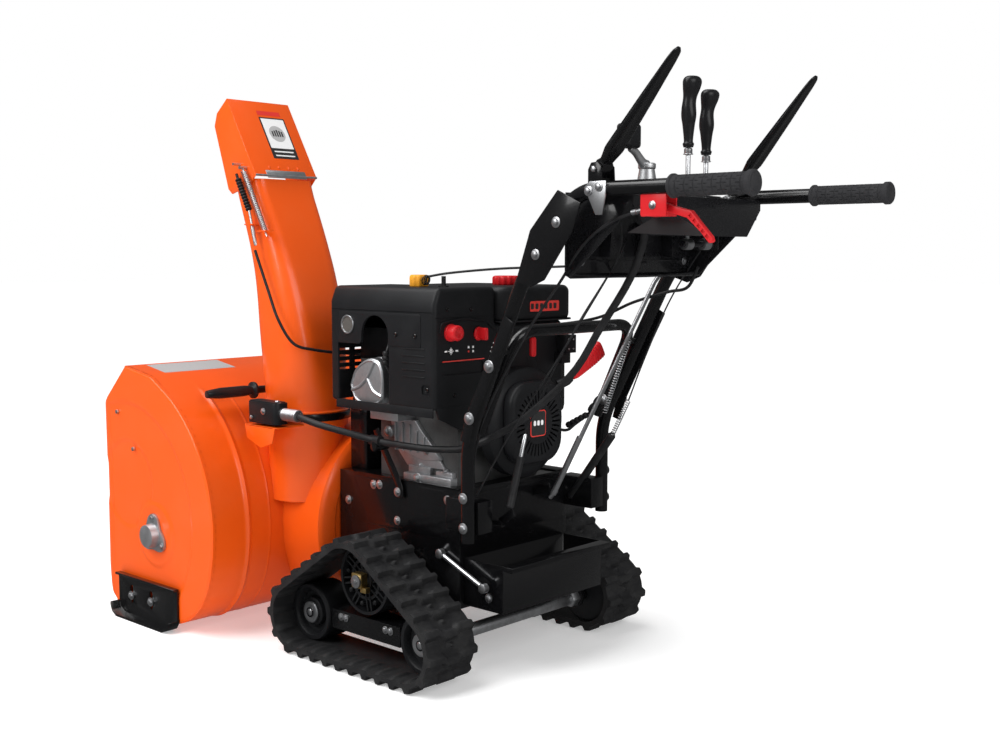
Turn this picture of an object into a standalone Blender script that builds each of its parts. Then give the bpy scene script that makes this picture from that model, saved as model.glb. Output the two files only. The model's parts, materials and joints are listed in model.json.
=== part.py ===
"""A tracked two-stage snow blower. Metres, +Z up, auger intake towards -Y, operator's left towards +X.

Every length below is measured in the machine's own frame: y = 0 at the drive axle and z = 0 on the ground.
The empty called machine then shifts the whole of it, so that the origin of the finished part lies on the
ground under the middle of its length.
"""

import math

import bmesh
import bpy
from mathutils import Vector

# ---------------------------------------------------------------- shared clearances and stock sizes
GAP = 0.0003  # between two pieces that rest on each other
RUNNING = 0.0003  # radial play of a shaft in its bore
SHEET = 0.003  # wall of the pressed steel pieces
SHELL = 0.004  # wall of the moulded covers

# ---------------------------------------------------------------- auger housing
HOUSING_WIDTH = 0.760
HOUSING_FRONT_Y = -0.726
HOUSING_TOP_Z = 0.545
TOP_FRONT_Y = -0.640
CREASE_Y = -0.538
CREASE_DROP = 0.017
BARREL_Y = -0.6416
BARREL_Z = 0.225
BARREL_RADIUS = 0.3156
BARREL_TOP_ANGLE = 63.0
HEEL_ANGLE = -20.0
HEEL_RADIUS = 0.160
CHEEK_TOP_Z = 0.465
TOE_Z = 0.065
FLOOR_FRONT_Y = -0.690
AUGER_Y = -0.536
AUGER_Z = 0.193
AUGER_RADIUS = 0.155
AUGER_RIBBON = 0.030
AUGER_PLATE = 0.004
AUGER_TURNS = 1.1
AUGER_SIDE_ROOM = 0.014
AUGER_SHAFT_RADIUS = 0.0100
AUGER_HUB_RADIUS = 0.0160
GEARBOX_HALF = 0.034
GEARBOX_RADIUS = 0.046
BEARING_CAP_RADIUS = 0.026
BEARING_DEPTH = 0.022
BEARING_PLATE = 0.005

TOOL_Y = -0.420
TOOL_Z = 0.495
TOOL_RADIUS = 0.0115

# ---------------------------------------------------------------- impeller and chute
IMPELLER_Z = 0.225
IMPELLER_RADIUS = 0.176
IMPELLER_BLADE = 0.005
IMPELLER_HUB_RADIUS = 0.024
IMPELLER_SHAFT_RADIUS = 0.0100
IMPELLER_FRONT_Y = -0.345
IMPELLER_REAR_Y = -0.225
DRUM_RADIUS = 0.205
DRUM_REAR_Y = -0.200
CHUTE_X = 0.145
CHUTE_Y = -0.317
THROAT_RADIUS = 0.080
THROAT_FOOT_Z = 0.272
THROAT_TOP_Z = 0.4415
RING_RADIUS = 0.095
RING_HEIGHT = 0.015
CHUTE_HALF_WIDTH = 0.075
CHUTE_FRONT_OPEN_Z = 0.620
CHUTE_TOP_Z = 0.938
DEFLECTOR_SIDE_ROOM = 0.002
DEFLECTOR_HINGE_Z = 0.945
DEFLECTOR_HINGE_Y = -0.371
DEFLECTOR_LENGTH = 0.188
DEFLECTOR_LEAN = 30.6

# ---------------------------------------------------------------- frame and belt drive
FRAME_HALF_WIDTH = 0.155
FRAME_FRONT_Y = -0.1985
FRAME_REAR_Y = 0.145
FRAME_BOTTOM_Z = 0.118
DECK_Z = 0.345
CRANK_Z = 0.460
PULLEY_FRONT_Y = -0.187
PULLEY_WIDTH = 0.024
PULLEY_FLANGE = 0.005
PULLEY_GROOVE = 0.010
ENGINE_PULLEY_RADIUS = 0.040
IMPELLER_PULLEY_RADIUS = 0.105
BELT_THICKNESS = 0.008
BELT_SIDE_ROOM = 0.0008
BELT_PLAY = 0.0010
COVER_HALF_WIDTH = 0.125
COVER_REAR_Y = -0.149

# ---------------------------------------------------------------- tracks
AXLE_Z = 0.171
AXLE_RADIUS = 0.0125
TRACK_INNER_X = 0.196
TRACK_WIDTH = 0.120
TRACK_OUTER_X = TRACK_INNER_X + TRACK_WIDTH
TRACK_BAND = 0.010
TRACK_LUG = 0.010
TRACK_LUGS = 28
SPROCKET_RADIUS = 0.0675
IDLER_RADIUS = 0.0565
TRACK_PLAY = 0.0005
IDLER_FRONT_Y = -0.160
IDLER_REAR_Y = 0.155
IDLER_AXLE_RADIUS = 0.010
TRACK_PLATE_X = 0.172
TRACK_PLATE = 0.008
CROSS_TUBE_RADIUS = 0.012

# ---------------------------------------------------------------- engine
SHROUD_LEFT_X = 0.220
SHROUD_RIGHT_X = -0.140
SHROUD_STEP_X = 0.0575
SHROUD_HALF_DEPTH = 0.146
SHROUD_BOTTOM_Z = 0.497
SHROUD_STEP_Z = 0.652
SHROUD_TOP_Z = 0.722
BLOCK_FRONT_Y = -0.100
BLOCK_REAR_Y = 0.115
FAN_RADIUS = 0.100
FAN_DEPTH = 0.066

# ---------------------------------------------------------------- handlebars and controls
HANDLE_X = 0.195
GRIP_X = 0.215
HANDLE_FOOT_Z = 0.262
HANDLE_RADIUS = 0.0125
HANDLE_FOOT_Y = 0.205
GRIP_Z = 0.885
GRIP_START_Y = 0.655
GRIP_END_Y = 0.800
GRIP_RADIUS = 0.016
HOOP_RADIUS = 0.011
HOOP_X = 0.1695
DASH_HALF_WIDTH = 0.190
DASH_SHEET = 0.0035
DASH_TOP_Z = 0.892
LEVER_PIVOT_Y = 0.500
LEVER_PIVOT_Z = 0.800
SPEED_LEVER_X = -0.055
DEFLECTOR_LEVER_X = -0.111
LEVER_ROD_RADIUS = 0.004
CRANK_X = 0.066
CLUTCH_PIVOT_Y = 0.515
CLUTCH_PIVOT_Z = 0.916
CLUTCH_LENGTH = 0.226
CLUTCH_ANGLE = 50.0
CLUTCH_X = 0.208

# ---------------------------------------------------------------- finishes: colour, roughness, metallic
ORANGE = ((0.90, 0.17, 0.02), 0.25, 0.0)
BLACK_STEEL = ((0.012, 0.012, 0.013), 0.35, 0.0)
BLACK_PLASTIC = ((0.020, 0.020, 0.022), 0.50, 0.0)
RUBBER = ((0.018, 0.018, 0.019), 0.80, 0.0)
ZINC = ((0.62, 0.63, 0.65), 0.30, 1.0)
ALUMINIUM = ((0.60, 0.61, 0.62), 0.45, 1.0)
RED_PLASTIC = ((0.65, 0.02, 0.02), 0.40, 0.0)
YELLOW_PLASTIC = ((0.85, 0.45, 0.04), 0.45, 0.0)
CAST_GREY = ((0.28, 0.28, 0.28), 0.55, 0.6)


def clear_scene():
    for old in list(bpy.data.objects):
        bpy.data.objects.remove(old, do_unlink=True)


clear_scene()
machine = bpy.data.objects.new("machine", None)
machine.location = (0.0, -(HOUSING_FRONT_Y + GRIP_END_Y) / 2, 0.0)
bpy.context.scene.collection.objects.link(machine)


# ---------------------------------------------------------------- placing pieces
def make_material(name, finish):
    colour, roughness, metallic = finish
    material = bpy.data.materials.new(name)
    material.use_nodes = True
    shader = material.node_tree.nodes["Principled BSDF"]
    shader.inputs["Base Color"].default_value = (*colour, 1.0)
    shader.inputs["Roughness"].default_value = roughness
    shader.inputs["Metallic"].default_value = metallic
    return material


def place(name, mesh, pivot):
    obj = bpy.data.objects.new(name, mesh)
    obj.location = pivot
    obj.parent = machine
    bpy.context.scene.collection.objects.link(obj)
    return obj


def mesh_from(name, bm, pivot):
    bmesh.ops.recalc_face_normals(bm, faces=bm.faces[:])
    bmesh.ops.translate(bm, verts=bm.verts[:], vec=-Vector(pivot))
    mesh = bpy.data.meshes.new(name)
    bm.to_mesh(mesh)
    bm.free()
    return mesh


def piece(name, bm, finish, pivot=(0.0, 0.0, 0.0)):
    """A visible piece, with its origin on its joint's axis."""
    mesh = mesh_from(name, bm, pivot)
    mesh.shade_smooth()
    mesh.set_sharp_from_angle(angle=math.radians(35))
    mesh.materials.append(make_material(name, finish))
    return place(name, mesh, pivot)


def combine(target, bm, operation):
    """Adds a Boolean with the solid in bm, which stays as a hidden helper."""
    helper = place(f"{target.name}_{operation.lower()}", mesh_from(target.name, bm, (0, 0, 0)), (0, 0, 0))
    helper.hide_render = True
    helper.display_type = "WIRE"
    modifier = target.modifiers.new(operation.title(), "BOOLEAN")
    modifier.operation = operation
    modifier.solver = "EXACT"
    modifier.object = helper


def add(target, bm):
    combine(target, bm, "UNION")


def cut(target, bm):
    combine(target, bm, "DIFFERENCE")


# ---------------------------------------------------------------- shapes
def at(axis, u, v, along):
    """The point at u, v in the plane across an axis: y, z across x; x, z across y; x, y across z."""
    return {"x": Vector((along, u, v)), "y": Vector((u, along, v)), "z": Vector((u, v, along))}[axis]


def loft(bm, sections, ring=False):
    """Joins loops of points one after another: closed on itself as a ring, or else with flat ends."""
    loops = [[bm.verts.new(point) for point in section] for section in sections]
    pairs = list(zip(loops, loops[1:]))
    if ring:
        pairs.append((loops[-1], loops[0]))
    for first, second in pairs:
        for i in range(len(first)):
            j = (i + 1) % len(first)
            bm.faces.new((first[i], first[j], second[j], second[i]))
    if not ring:
        bm.faces.new(loops[0][::-1])
        bm.faces.new(loops[-1])
    return bm


def prism(outline, axis, low, high, bm=None):
    bm = bm or bmesh.new()
    return loft(bm, [[at(axis, u, v, along) for u, v in outline] for along in (low, high)])


def box(low, high, bm=None):
    outline = [(low[0], low[1]), (high[0], low[1]), (high[0], high[1]), (low[0], high[1])]
    return prism(outline, "z", low[2], high[2], bm)


def arc(centre, radius, start, end, steps):
    """Points on a circle from one angle to another, in degrees."""
    angles = [math.radians(start + (end - start) * i / steps) for i in range(steps + 1)]
    return [(centre[0] + radius * math.cos(a), centre[1] + radius * math.sin(a)) for a in angles]


def circle(centre, radius, steps):
    return arc(centre, radius, 0.0, 360.0, steps)[:-1]


def rounded_box(low, high, radius, steps=3):
    """A rectangle's outline with round corners."""
    corners = [(high[0], high[1], 0), (low[0], high[1], 90), (low[0], low[1], 180), (high[0], low[1], 270)]
    points = []
    for u, v, start in corners:
        centre = (u - math.copysign(radius, u - low[0] - 1e-9), v - math.copysign(radius, v - low[1] - 1e-9))
        points += arc(centre, radius, start, start + 90, steps)
    return points


def turned(profile, axis, centre, steps=24, ring=False, bm=None):
    """Turns a profile of (place along the axis, radius) round an axis."""
    bm = bm or bmesh.new()
    sections = []
    for along, radius in profile:
        sections.append([at(axis, u, v, along) for u, v in circle(centre, radius, steps)])
    return loft(bm, sections, ring)


def rod(axis, centre, radius, low, high, steps=16, bm=None):
    return turned([(low, radius), (high, radius)], axis, centre, steps, False, bm)


def bent(points, radius, steps=4):
    """The same path with each inner corner rounded by a curve that starts radius before it."""
    points = [Vector(point) for point in points]
    path = [points[0]]
    for before, corner, after in zip(points, points[1:], points[2:]):
        start = corner + (before - corner).normalized() * radius
        end = corner + (after - corner).normalized() * radius
        for i in range(steps + 1):
            t = i / steps
            path.append(start * (1 - t) ** 2 + corner * 2 * t * (1 - t) + end * t**2)
    return path + [points[-1]]


def tube(points, radius, sides=12, wall=0.0, bm=None):
    """A round bar or, with a wall, a hollow tube along a path, its rings carried on without twist."""
    bm = bm or bmesh.new()
    points = [Vector(point) for point in points]
    across = (points[1] - points[0]).orthogonal().normalized()
    sections = []
    inside = []
    for i, point in enumerate(points):
        ahead = points[min(i + 1, len(points) - 1)] - points[max(i - 1, 0)]
        ahead.normalize()
        across = (across - ahead * across.dot(ahead)).normalized()
        other = ahead.cross(across)
        sections.append([point + across * u + other * v for u, v in circle((0, 0), radius, sides)])
        inside.append([point + across * u + other * v for u, v in circle((0, 0), radius - wall, sides)])
    return loft(bm, sections + inside[::-1] if wall else sections, ring=wall > 0)


def smooth(points, count):
    """Points read evenly from a smooth curve through the given ones."""
    points = [Vector(point) for point in points]
    padded = [points[0] * 2 - points[1]] + points + [points[-1] * 2 - points[-2]]
    dense = []
    for a, b, c, d in zip(padded, padded[1:], padded[2:], padded[3:]):
        for i in range(20):
            t = i / 20
            even = b * 2 + (c - a) * t + (a * 2 - b * 5 + c * 4 - d) * t**2 + (b * 3 - a - c * 3 + d) * t**3
            dense.append(even / 2)
    dense.append(points[-1])
    lengths = [0.0]
    for a, b in zip(dense, dense[1:]):
        lengths.append(lengths[-1] + (b - a).length)
    path = []
    j = 0
    for i in range(count):
        wanted = lengths[-1] * i / (count - 1)
        while j < len(lengths) - 2 and lengths[j + 1] < wanted:
            j += 1
        share = (wanted - lengths[j]) / (lengths[j + 1] - lengths[j])
        path.append(dense[j].lerp(dense[j + 1], share))
    return path


def cable(name, points, count, radius, finish):
    """A held cable: a curve with a round bevel and filled ends along its real route."""
    curve = bpy.data.curves.new(name, "CURVE")
    curve.dimensions = "3D"
    curve.bevel_depth = radius
    curve.bevel_resolution = 2
    curve.use_fill_caps = True
    spline = curve.splines.new("POLY")
    spline.points.add(count - 1)
    for target, point in zip(spline.points, smooth(points, count)):
        target.co = (*point, 1.0)
    curve.materials.append(make_material(name, finish))
    return place(name, curve, (0, 0, 0))


def hull_loop(wheels, offset, steps=10):
    """The line of a belt round wheels given as (centre, radius) in turning order, counter-clockwise."""
    loop = []
    count = len(wheels)
    normals = []
    for i in range(count):
        (centre_a, radius_a) = wheels[i]
        (centre_b, radius_b) = wheels[(i + 1) % count]
        du, dv = centre_b[0] - centre_a[0], centre_b[1] - centre_a[1]
        span = math.hypot(du, dv)
        normals.append(math.atan2(dv, du) - math.acos((radius_a - radius_b) / span))
    for i in range(count):
        centre, radius = wheels[i]
        start, end = normals[i - 1], normals[i]
        while end < start:
            end += 2 * math.pi
        loop += arc(centre, radius + offset, math.degrees(start), math.degrees(end), steps)
    return loop


def strip(path, thickness):
    """The outline of a folded sheet whose outer face follows a path, with its wall on the right."""
    offset = []
    for i, point in enumerate(path):
        before = Vector(path[max(i - 1, 0)])
        after = Vector(path[min(i + 1, len(path) - 1)])
        here = Vector(point)
        normals = []
        for edge in (here - before, after - here):
            if edge.length > 0:
                edge.normalize()
                normals.append(Vector((edge.y, -edge.x)))
        middle = sum(normals, Vector((0, 0))).normalized()
        offset.append(here + middle * thickness / max(0.5, middle.dot(normals[0])))
    return [tuple(point) for point in path] + [tuple(point) for point in reversed(offset)]


# ---------------------------------------------------------------- auger housing and its fittings
HEEL_Y = BARREL_Y + (BARREL_RADIUS - HEEL_RADIUS) * math.cos(math.radians(HEEL_ANGLE))
HEEL_Z = BARREL_Z + (BARREL_RADIUS - HEEL_RADIUS) * math.sin(math.radians(HEEL_ANGLE))
FLOOR_Z = HEEL_Z - HEEL_RADIUS
CREASE_Z = HOUSING_TOP_Z - CREASE_DROP
CHEEK_X = HOUSING_WIDTH / 2


def barrel_line(inset):
    """The wrapped sheet from its rear crease, round the barrel and the heel, to the floor."""
    top = [(CREASE_Y, CREASE_Z - inset)]
    barrel = arc((BARREL_Y, BARREL_Z), BARREL_RADIUS - inset, BARREL_TOP_ANGLE, HEEL_ANGLE, 12)
    heel = arc((HEEL_Y, HEEL_Z), HEEL_RADIUS - inset, HEEL_ANGLE, -90.0, 6)
    return top + barrel + heel[1:]


def cheek_outline(grown=0.0):
    front = [(FLOOR_FRONT_Y, FLOOR_Z - grown), (HOUSING_FRONT_Y, TOE_Z), (HOUSING_FRONT_Y, CHEEK_TOP_Z)]
    return [(TOP_FRONT_Y, HOUSING_TOP_Z + grown)] + barrel_line(-grown) + front


def make_auger_housing():
    housing = piece("auger_housing", prism(cheek_outline(), "x", -CHEEK_X, CHEEK_X), ORANGE)
    add(housing, box((0.252, TOOL_Y - 0.010, 0.430), (0.264, TOOL_Y + 0.010, TOOL_Z - TOOL_RADIUS - GAP)))
    lip_y = TOP_FRONT_Y + 0.002
    far_y = HOUSING_FRONT_Y - 0.05
    far_z = HOUSING_TOP_Z + 0.05
    front = [(far_y, FLOOR_Z + SHEET), (far_y, far_z), (lip_y, far_z), (lip_y, HOUSING_TOP_Z - SHEET)]
    inside = CHEEK_X - SHEET
    cut(housing, prism(barrel_line(SHEET) + front, "x", -inside, inside))
    cut(housing, rod("y", (0, IMPELLER_Z), DRUM_RADIUS - SHEET, AUGER_Y, DRUM_REAR_Y, 40))
    throat = THROAT_RADIUS - SHEET
    cut(housing, rod("z", (CHUTE_X, CHUTE_Y), throat, IMPELLER_Z, THROAT_TOP_Z + SHEET, 24))
    hole = AUGER_SHAFT_RADIUS + 10 * RUNNING
    cut(housing, rod("x", (AUGER_Y, AUGER_Z), hole, -CHEEK_X - SHEET, CHEEK_X + SHEET, 16))


def make_impeller_drum():
    drum = piece("impeller_drum", rod("y", (0, IMPELLER_Z), DRUM_RADIUS, AUGER_Y, DRUM_REAR_Y, 40), ORANGE)
    add(drum, rod("z", (CHUTE_X, CHUTE_Y), THROAT_RADIUS, THROAT_FOOT_Z, THROAT_TOP_Z, 24))
    shelf_low = (CHUTE_X + THROAT_RADIUS / 2, CHUTE_Y - 0.035, THROAT_TOP_Z - 0.007)
    shelf_high = (CHUTE_X + RING_RADIUS + 0.038, CHUTE_Y + 0.065, THROAT_TOP_Z - 0.0007)
    add(drum, box(shelf_low, shelf_high))
    cut(drum, rod("y", (0, IMPELLER_Z), DRUM_RADIUS - SHEET, AUGER_Y - 0.01, DRUM_REAR_Y - SHEET, 40))
    throat = THROAT_RADIUS - SHEET
    cut(drum, rod("z", (CHUTE_X, CHUTE_Y), throat, THROAT_FOOT_Z + SHEET, THROAT_TOP_Z + 0.01, 24))
    cut(drum, prism(cheek_outline(GAP), "x", -CHEEK_X, CHEEK_X))
    bore = IMPELLER_SHAFT_RADIUS + 5 * RUNNING
    cut(drum, rod("y", (0, IMPELLER_Z), bore, DRUM_REAR_Y - 2 * SHEET, DRUM_REAR_Y + SHEET, 16))


def make_scraper_bar():
    half = CHEEK_X - 0.012
    low = (-half, FLOOR_FRONT_Y - 0.008, FLOOR_Z - 0.006)
    piece("scraper_bar", box(low, (half, FLOOR_FRONT_Y + 0.060, FLOOR_Z - GAP)), BLACK_STEEL)


SHOE_FRONT_Y = -0.677
SHOE_REAR_Y = -0.450
SHOE_HEIGHT = 0.092
SHOE_PLATE = 0.005
SHOE_RUNNER = 0.028
SHOE_SLOTS_Y = (-0.626, -0.550)
SHOE_LIFTS = ((0.0, 0.024), (0.03, 0.008), (0.10, 0.0), (0.88, 0.0), (0.96, 0.007), (1.0, 0.020))


def make_skid_shoe(name, side):
    """A channel with a wide runner at its foot, curved up at both ends, and two upright slots."""
    bm = bmesh.new()
    sections = []
    inner = CHEEK_X + GAP
    for share, lift in SHOE_LIFTS:
        y = SHOE_FRONT_Y + (SHOE_REAR_Y - SHOE_FRONT_Y) * share
        top = SHOE_HEIGHT
        profile = [(0, lift), (SHOE_RUNNER, lift), (SHOE_RUNNER, lift + SHOE_PLATE)]
        profile += [(SHOE_PLATE, lift + SHOE_PLATE), (SHOE_PLATE, top - SHOE_PLATE)]
        profile += [(SHOE_RUNNER / 2, top - SHOE_PLATE), (SHOE_RUNNER / 2, top), (0, top)]
        sections.append([Vector((side * (inner + u), y, z)) for u, z in profile])
    shoe = piece(name, loft(bm, sections), BLACK_STEEL)
    slots = bmesh.new()
    for y in SHOE_SLOTS_Y:
        outline = rounded_box((y - 0.0055, 0.030), (y + 0.0055, 0.070), 0.0054)
        ends = sorted((side * (inner - 0.01), side * (inner + SHOE_PLATE + 0.01)))
        prism(outline, "x", ends[0], ends[1], slots)
    cut(shoe, slots)


def make_auger_bearing(name, side):
    """A cup that holds the shaft's end, on a flange with three lobes."""
    inner = side * (CHEEK_X + GAP)
    deep = side * (CHEEK_X + BEARING_DEPTH)
    blind = side * (CHEEK_X + BEARING_DEPTH * 0.6)
    bore = AUGER_SHAFT_RADIUS + RUNNING
    profile = [(blind, bore), (inner, bore), (inner, BEARING_CAP_RADIUS), (deep, BEARING_CAP_RADIUS - 0.002)]
    bearing = piece(name, turned(profile, "x", (AUGER_Y, AUGER_Z), 24), ALUMINIUM)
    lobes = []
    for i in range(36):
        angle = math.radians(10 * i + 90)
        reach = BEARING_CAP_RADIUS + 0.012 + 0.008 * math.cos(3 * (angle - math.pi / 2))
        lobes.append((AUGER_Y + reach * math.cos(angle), AUGER_Z + reach * math.sin(angle)))
    ends = sorted((inner, inner + side * BEARING_PLATE))
    flange = prism(lobes, "x", ends[0], ends[1])
    add(bearing, flange)
    cut(bearing, rod("x", (AUGER_Y, AUGER_Z), bore, *sorted((inner - side * 0.01, blind)), 24))


# ---------------------------------------------------------------- augers, gearbox and impeller
def make_auger_shaft():
    half = CHEEK_X + BEARING_DEPTH * 0.5
    shaft = rod("x", (0, 0), AUGER_SHAFT_RADIUS, -half, half, 16)
    bmesh.ops.translate(shaft, verts=shaft.verts[:], vec=(0, AUGER_Y, AUGER_Z))
    piece("auger_shaft", shaft, ZINC, (0, AUGER_Y, AUGER_Z))


def auger_ribbon(bm, side, start, inner, outer, phase):
    """One toothed spiral ribbon that carries snow towards the middle as the top turns forward."""
    steps = 32
    sections = []
    for i in range(steps + 1):
        x = inner + (outer - inner) * i / steps
        angle = math.radians(start) + phase - side * 2 * math.pi * AUGER_TURNS * i / steps
        tip = AUGER_RADIUS - (0.007 if i % 4 in (1, 2) else 0.0)
        foot = AUGER_RADIUS - AUGER_RIBBON
        loop = []
        for radius, shift in ((foot, 0), (tip, 0), (tip, AUGER_PLATE), (foot, AUGER_PLATE)):
            y = AUGER_Y + radius * math.cos(angle)
            z = AUGER_Z + radius * math.sin(angle)
            loop.append(Vector((side * (x + shift), y, z)))
        sections.append(loop)
    loft(bm, sections)


def make_auger(name, side):
    inner = GEARBOX_HALF + 0.004
    outer = CHEEK_X - SHEET - AUGER_SIDE_ROOM
    bore = AUGER_SHAFT_RADIUS + GAP
    ends = (side * inner, side * outer)
    profile = [(ends[0], bore), (ends[1], bore), (ends[1], AUGER_HUB_RADIUS), (ends[0], AUGER_HUB_RADIUS)]
    hub = turned(profile, "x", (AUGER_Y, AUGER_Z), 20, ring=True)
    auger = piece(name, hub, ORANGE, (0, AUGER_Y, AUGER_Z))
    ribbons = bmesh.new()
    for phase in (0.0, math.pi):
        auger_ribbon(ribbons, side, 90.0, inner + 0.006, outer - AUGER_PLATE, phase)
    bars = bmesh.new()
    reach = AUGER_RADIUS - AUGER_RIBBON / 2
    for share in (0.12, 0.5, 0.88):
        turn = math.radians(90.0) - side * 2 * math.pi * AUGER_TURNS * share
        x = side * (inner + 0.006 + (outer - AUGER_PLATE - inner - 0.006) * share + AUGER_PLATE / 2)
        for way in (0.0, math.pi):
            along = Vector((0, math.cos(turn + way), math.sin(turn + way)))
            across = Vector((1, 0, 0)).cross(along)
            sections = []
            for radius in (AUGER_HUB_RADIUS - 0.003, reach):
                centre = Vector((x, AUGER_Y, AUGER_Z)) + along * radius
                corners = ((-0.004, -0.009), (0.004, -0.009), (0.004, 0.009), (-0.004, 0.009))
                sections.append([centre + Vector((u, 0, 0)) + across * v for u, v in corners])
            loft(bars, sections)
    add(auger, bars)
    add(auger, ribbons)


def make_auger_gearbox():
    """The worm gearbox in the middle: a round case on the auger shaft and a nose on the impeller shaft."""
    case = [(-GEARBOX_HALF, GEARBOX_RADIUS - 0.014), (-GEARBOX_HALF + 0.012, GEARBOX_RADIUS)]
    case += [(-along, radius) for along, radius in reversed(case)]
    gearbox = piece("auger_gearbox", turned(case, "x", (AUGER_Y, AUGER_Z), 24), CAST_GREY)
    add(gearbox, rod("y", (0, IMPELLER_Z), 0.024, AUGER_Y - 0.030, AUGER_Y + 0.080, 20))
    reach = GEARBOX_HALF + 0.01
    cut(gearbox, rod("x", (AUGER_Y, AUGER_Z), AUGER_SHAFT_RADIUS + RUNNING, -reach, reach, 16))
    bore = IMPELLER_SHAFT_RADIUS + RUNNING
    cut(gearbox, rod("y", (0, IMPELLER_Z), bore, AUGER_Y + 0.036, AUGER_Y + 0.09, 16))


def make_impeller():
    """Four blades on a hub, each as wide as the drum is deep."""
    centre = (0, IMPELLER_FRONT_Y, IMPELLER_Z)
    ends = (IMPELLER_FRONT_Y, IMPELLER_REAR_Y)
    hub = rod("y", (0, IMPELLER_Z), IMPELLER_HUB_RADIUS, ends[0] + 0.01, ends[1] - 0.01, 20)
    impeller = piece("impeller", hub, ORANGE, centre)
    half = IMPELLER_BLADE / 2
    for u, v in ((IMPELLER_RADIUS, half), (half, IMPELLER_RADIUS)):
        add(impeller, box((-u, ends[0], IMPELLER_Z - v), (u, ends[1], IMPELLER_Z + v)))
    bore = IMPELLER_SHAFT_RADIUS + GAP
    cut(impeller, rod("y", (0, IMPELLER_Z), bore, ends[0] - 0.01, ends[1] + 0.01, 16))


def pulley_profile(radius, shaft, before, after):
    """A grooved pulley on its shaft, from one end of the shaft to the other."""
    rear = PULLEY_FRONT_Y + PULLEY_WIDTH
    floor = radius - PULLEY_GROOVE
    profile = [(before, shaft)] if before < PULLEY_FRONT_Y else []
    if before < PULLEY_FRONT_Y:
        profile.append((PULLEY_FRONT_Y, shaft))
    profile += [(PULLEY_FRONT_Y, radius), (PULLEY_FRONT_Y + PULLEY_FLANGE, radius)]
    profile += [(PULLEY_FRONT_Y + PULLEY_FLANGE, floor), (rear - PULLEY_FLANGE, floor)]
    profile += [(rear - PULLEY_FLANGE, radius), (rear, radius), (rear, shaft), (after, shaft)]
    return profile


def make_impeller_shaft():
    front = AUGER_Y + 0.038
    profile = pulley_profile(IMPELLER_PULLEY_RADIUS, IMPELLER_SHAFT_RADIUS, front, PULLEY_FRONT_Y + 0.045)
    piece("impeller_shaft", turned(profile, "y", (0, IMPELLER_Z), 28), ZINC, (0, front, IMPELLER_Z))


# ---------------------------------------------------------------- chute
RING_Z = THROAT_TOP_Z + GAP
CHUTE_FOOT_Z = RING_Z + RING_HEIGHT + GAP
CHUTE_FOOT_RADIUS = THROAT_RADIUS + 0.002
CHUTE_PIVOT = (CHUTE_X, CHUTE_Y, RING_Z)


def chute_lines(z):
    """Front y, back y, half width and corner radius of the chute at a height."""
    wide = CHUTE_FOOT_RADIUS
    rows = [(CHUTE_FOOT_Z, -wide, wide, wide, wide - 0.0005), (0.500, -0.0830, 0.0815, 0.0820, 0.078)]
    rows += [(0.560, -0.0835, 0.0760, 0.0815, 0.066)]
    rows += [(0.620, -0.0840, 0.0650, 0.0800, 0.052), (0.712, -0.0850, 0.0410, 0.0785, 0.040)]
    rows += [(0.780, -0.0960, 0.0150, 0.0770, 0.034)]
    rows += [(0.855, -0.1200, -0.0190, CHUTE_HALF_WIDTH + 0.001, 0.028)]
    rows += [(CHUTE_TOP_Z, -0.1480, -0.0600, CHUTE_HALF_WIDTH, 0.022)]
    for low, high in zip(rows, rows[1:]):
        if z <= high[0] + 1e-9:
            share = (z - low[0]) / (high[0] - low[0])
            return [a + (b - a) * share for a, b in zip(low[1:], high[1:])]
    return rows[-1][1:]


def chute_section(z, inset):
    front, back, half, corner = chute_lines(z)
    low = (CHUTE_X - half + inset, CHUTE_Y + front + inset)
    high = (CHUTE_X + half - inset, CHUTE_Y + back - inset)
    return [Vector((u, v, z)) for u, v in rounded_box(low, high, corner - inset, 5)]


def make_chute():
    """A spout that starts round, turns square and leans forward, open in front above its foot."""
    levels = [CHUTE_FOOT_Z, 0.50, 0.56, 0.62, 0.712, 0.78, 0.855, CHUTE_TOP_Z]
    sections = [chute_section(z, 0.0) for z in levels] + [chute_section(z, SHEET) for z in reversed(levels)]
    chute = piece("chute", loft(bmesh.new(), sections, ring=True), ORANGE, CHUTE_PIVOT)
    low = (CHUTE_X - CHUTE_HALF_WIDTH + 0.018, CHUTE_Y - 0.30, CHUTE_FRONT_OPEN_Z)
    high = (CHUTE_X + CHUTE_HALF_WIDTH - 0.018, CHUTE_Y - 0.082, CHUTE_TOP_Z + 0.05)
    mouth = [(low[1], low[2]), (high[1], low[2]), (high[1], 0.712), (CHUTE_Y - 0.094, 0.78)]
    mouth += [(CHUTE_Y - 0.117, 0.855), (CHUTE_Y - 0.143, CHUTE_TOP_Z + 0.002), (CHUTE_Y - 0.143, high[2])]
    mouth += [(low[1], high[2])]
    cut(chute, prism(mouth, "x", low[0], high[0]))


def make_chute_ring():
    bore = THROAT_RADIUS - 2 * SHEET
    top = RING_Z + RING_HEIGHT
    profile = [(RING_Z, bore), (RING_Z, RING_RADIUS), (top, RING_RADIUS), (top, bore)]
    piece("chute_ring", turned(profile, "z", (CHUTE_X, CHUTE_Y), 28, ring=True), BLACK_STEEL, CHUTE_PIVOT)


DEFLECTOR_PIVOT = (CHUTE_X, DEFLECTOR_HINGE_Y, DEFLECTOR_HINGE_Z)


def deflector_point(up, inward):
    """A point beside the deflector's back wall: how far up it from the hinge, and how far in front of it."""
    lean = math.radians(DEFLECTOR_LEAN)
    y = DEFLECTOR_HINGE_Y - up * math.sin(lean) - inward * math.cos(lean)
    z = DEFLECTOR_HINGE_Z + up * math.cos(lean) - inward * math.sin(lean)
    return (y, z)


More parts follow.
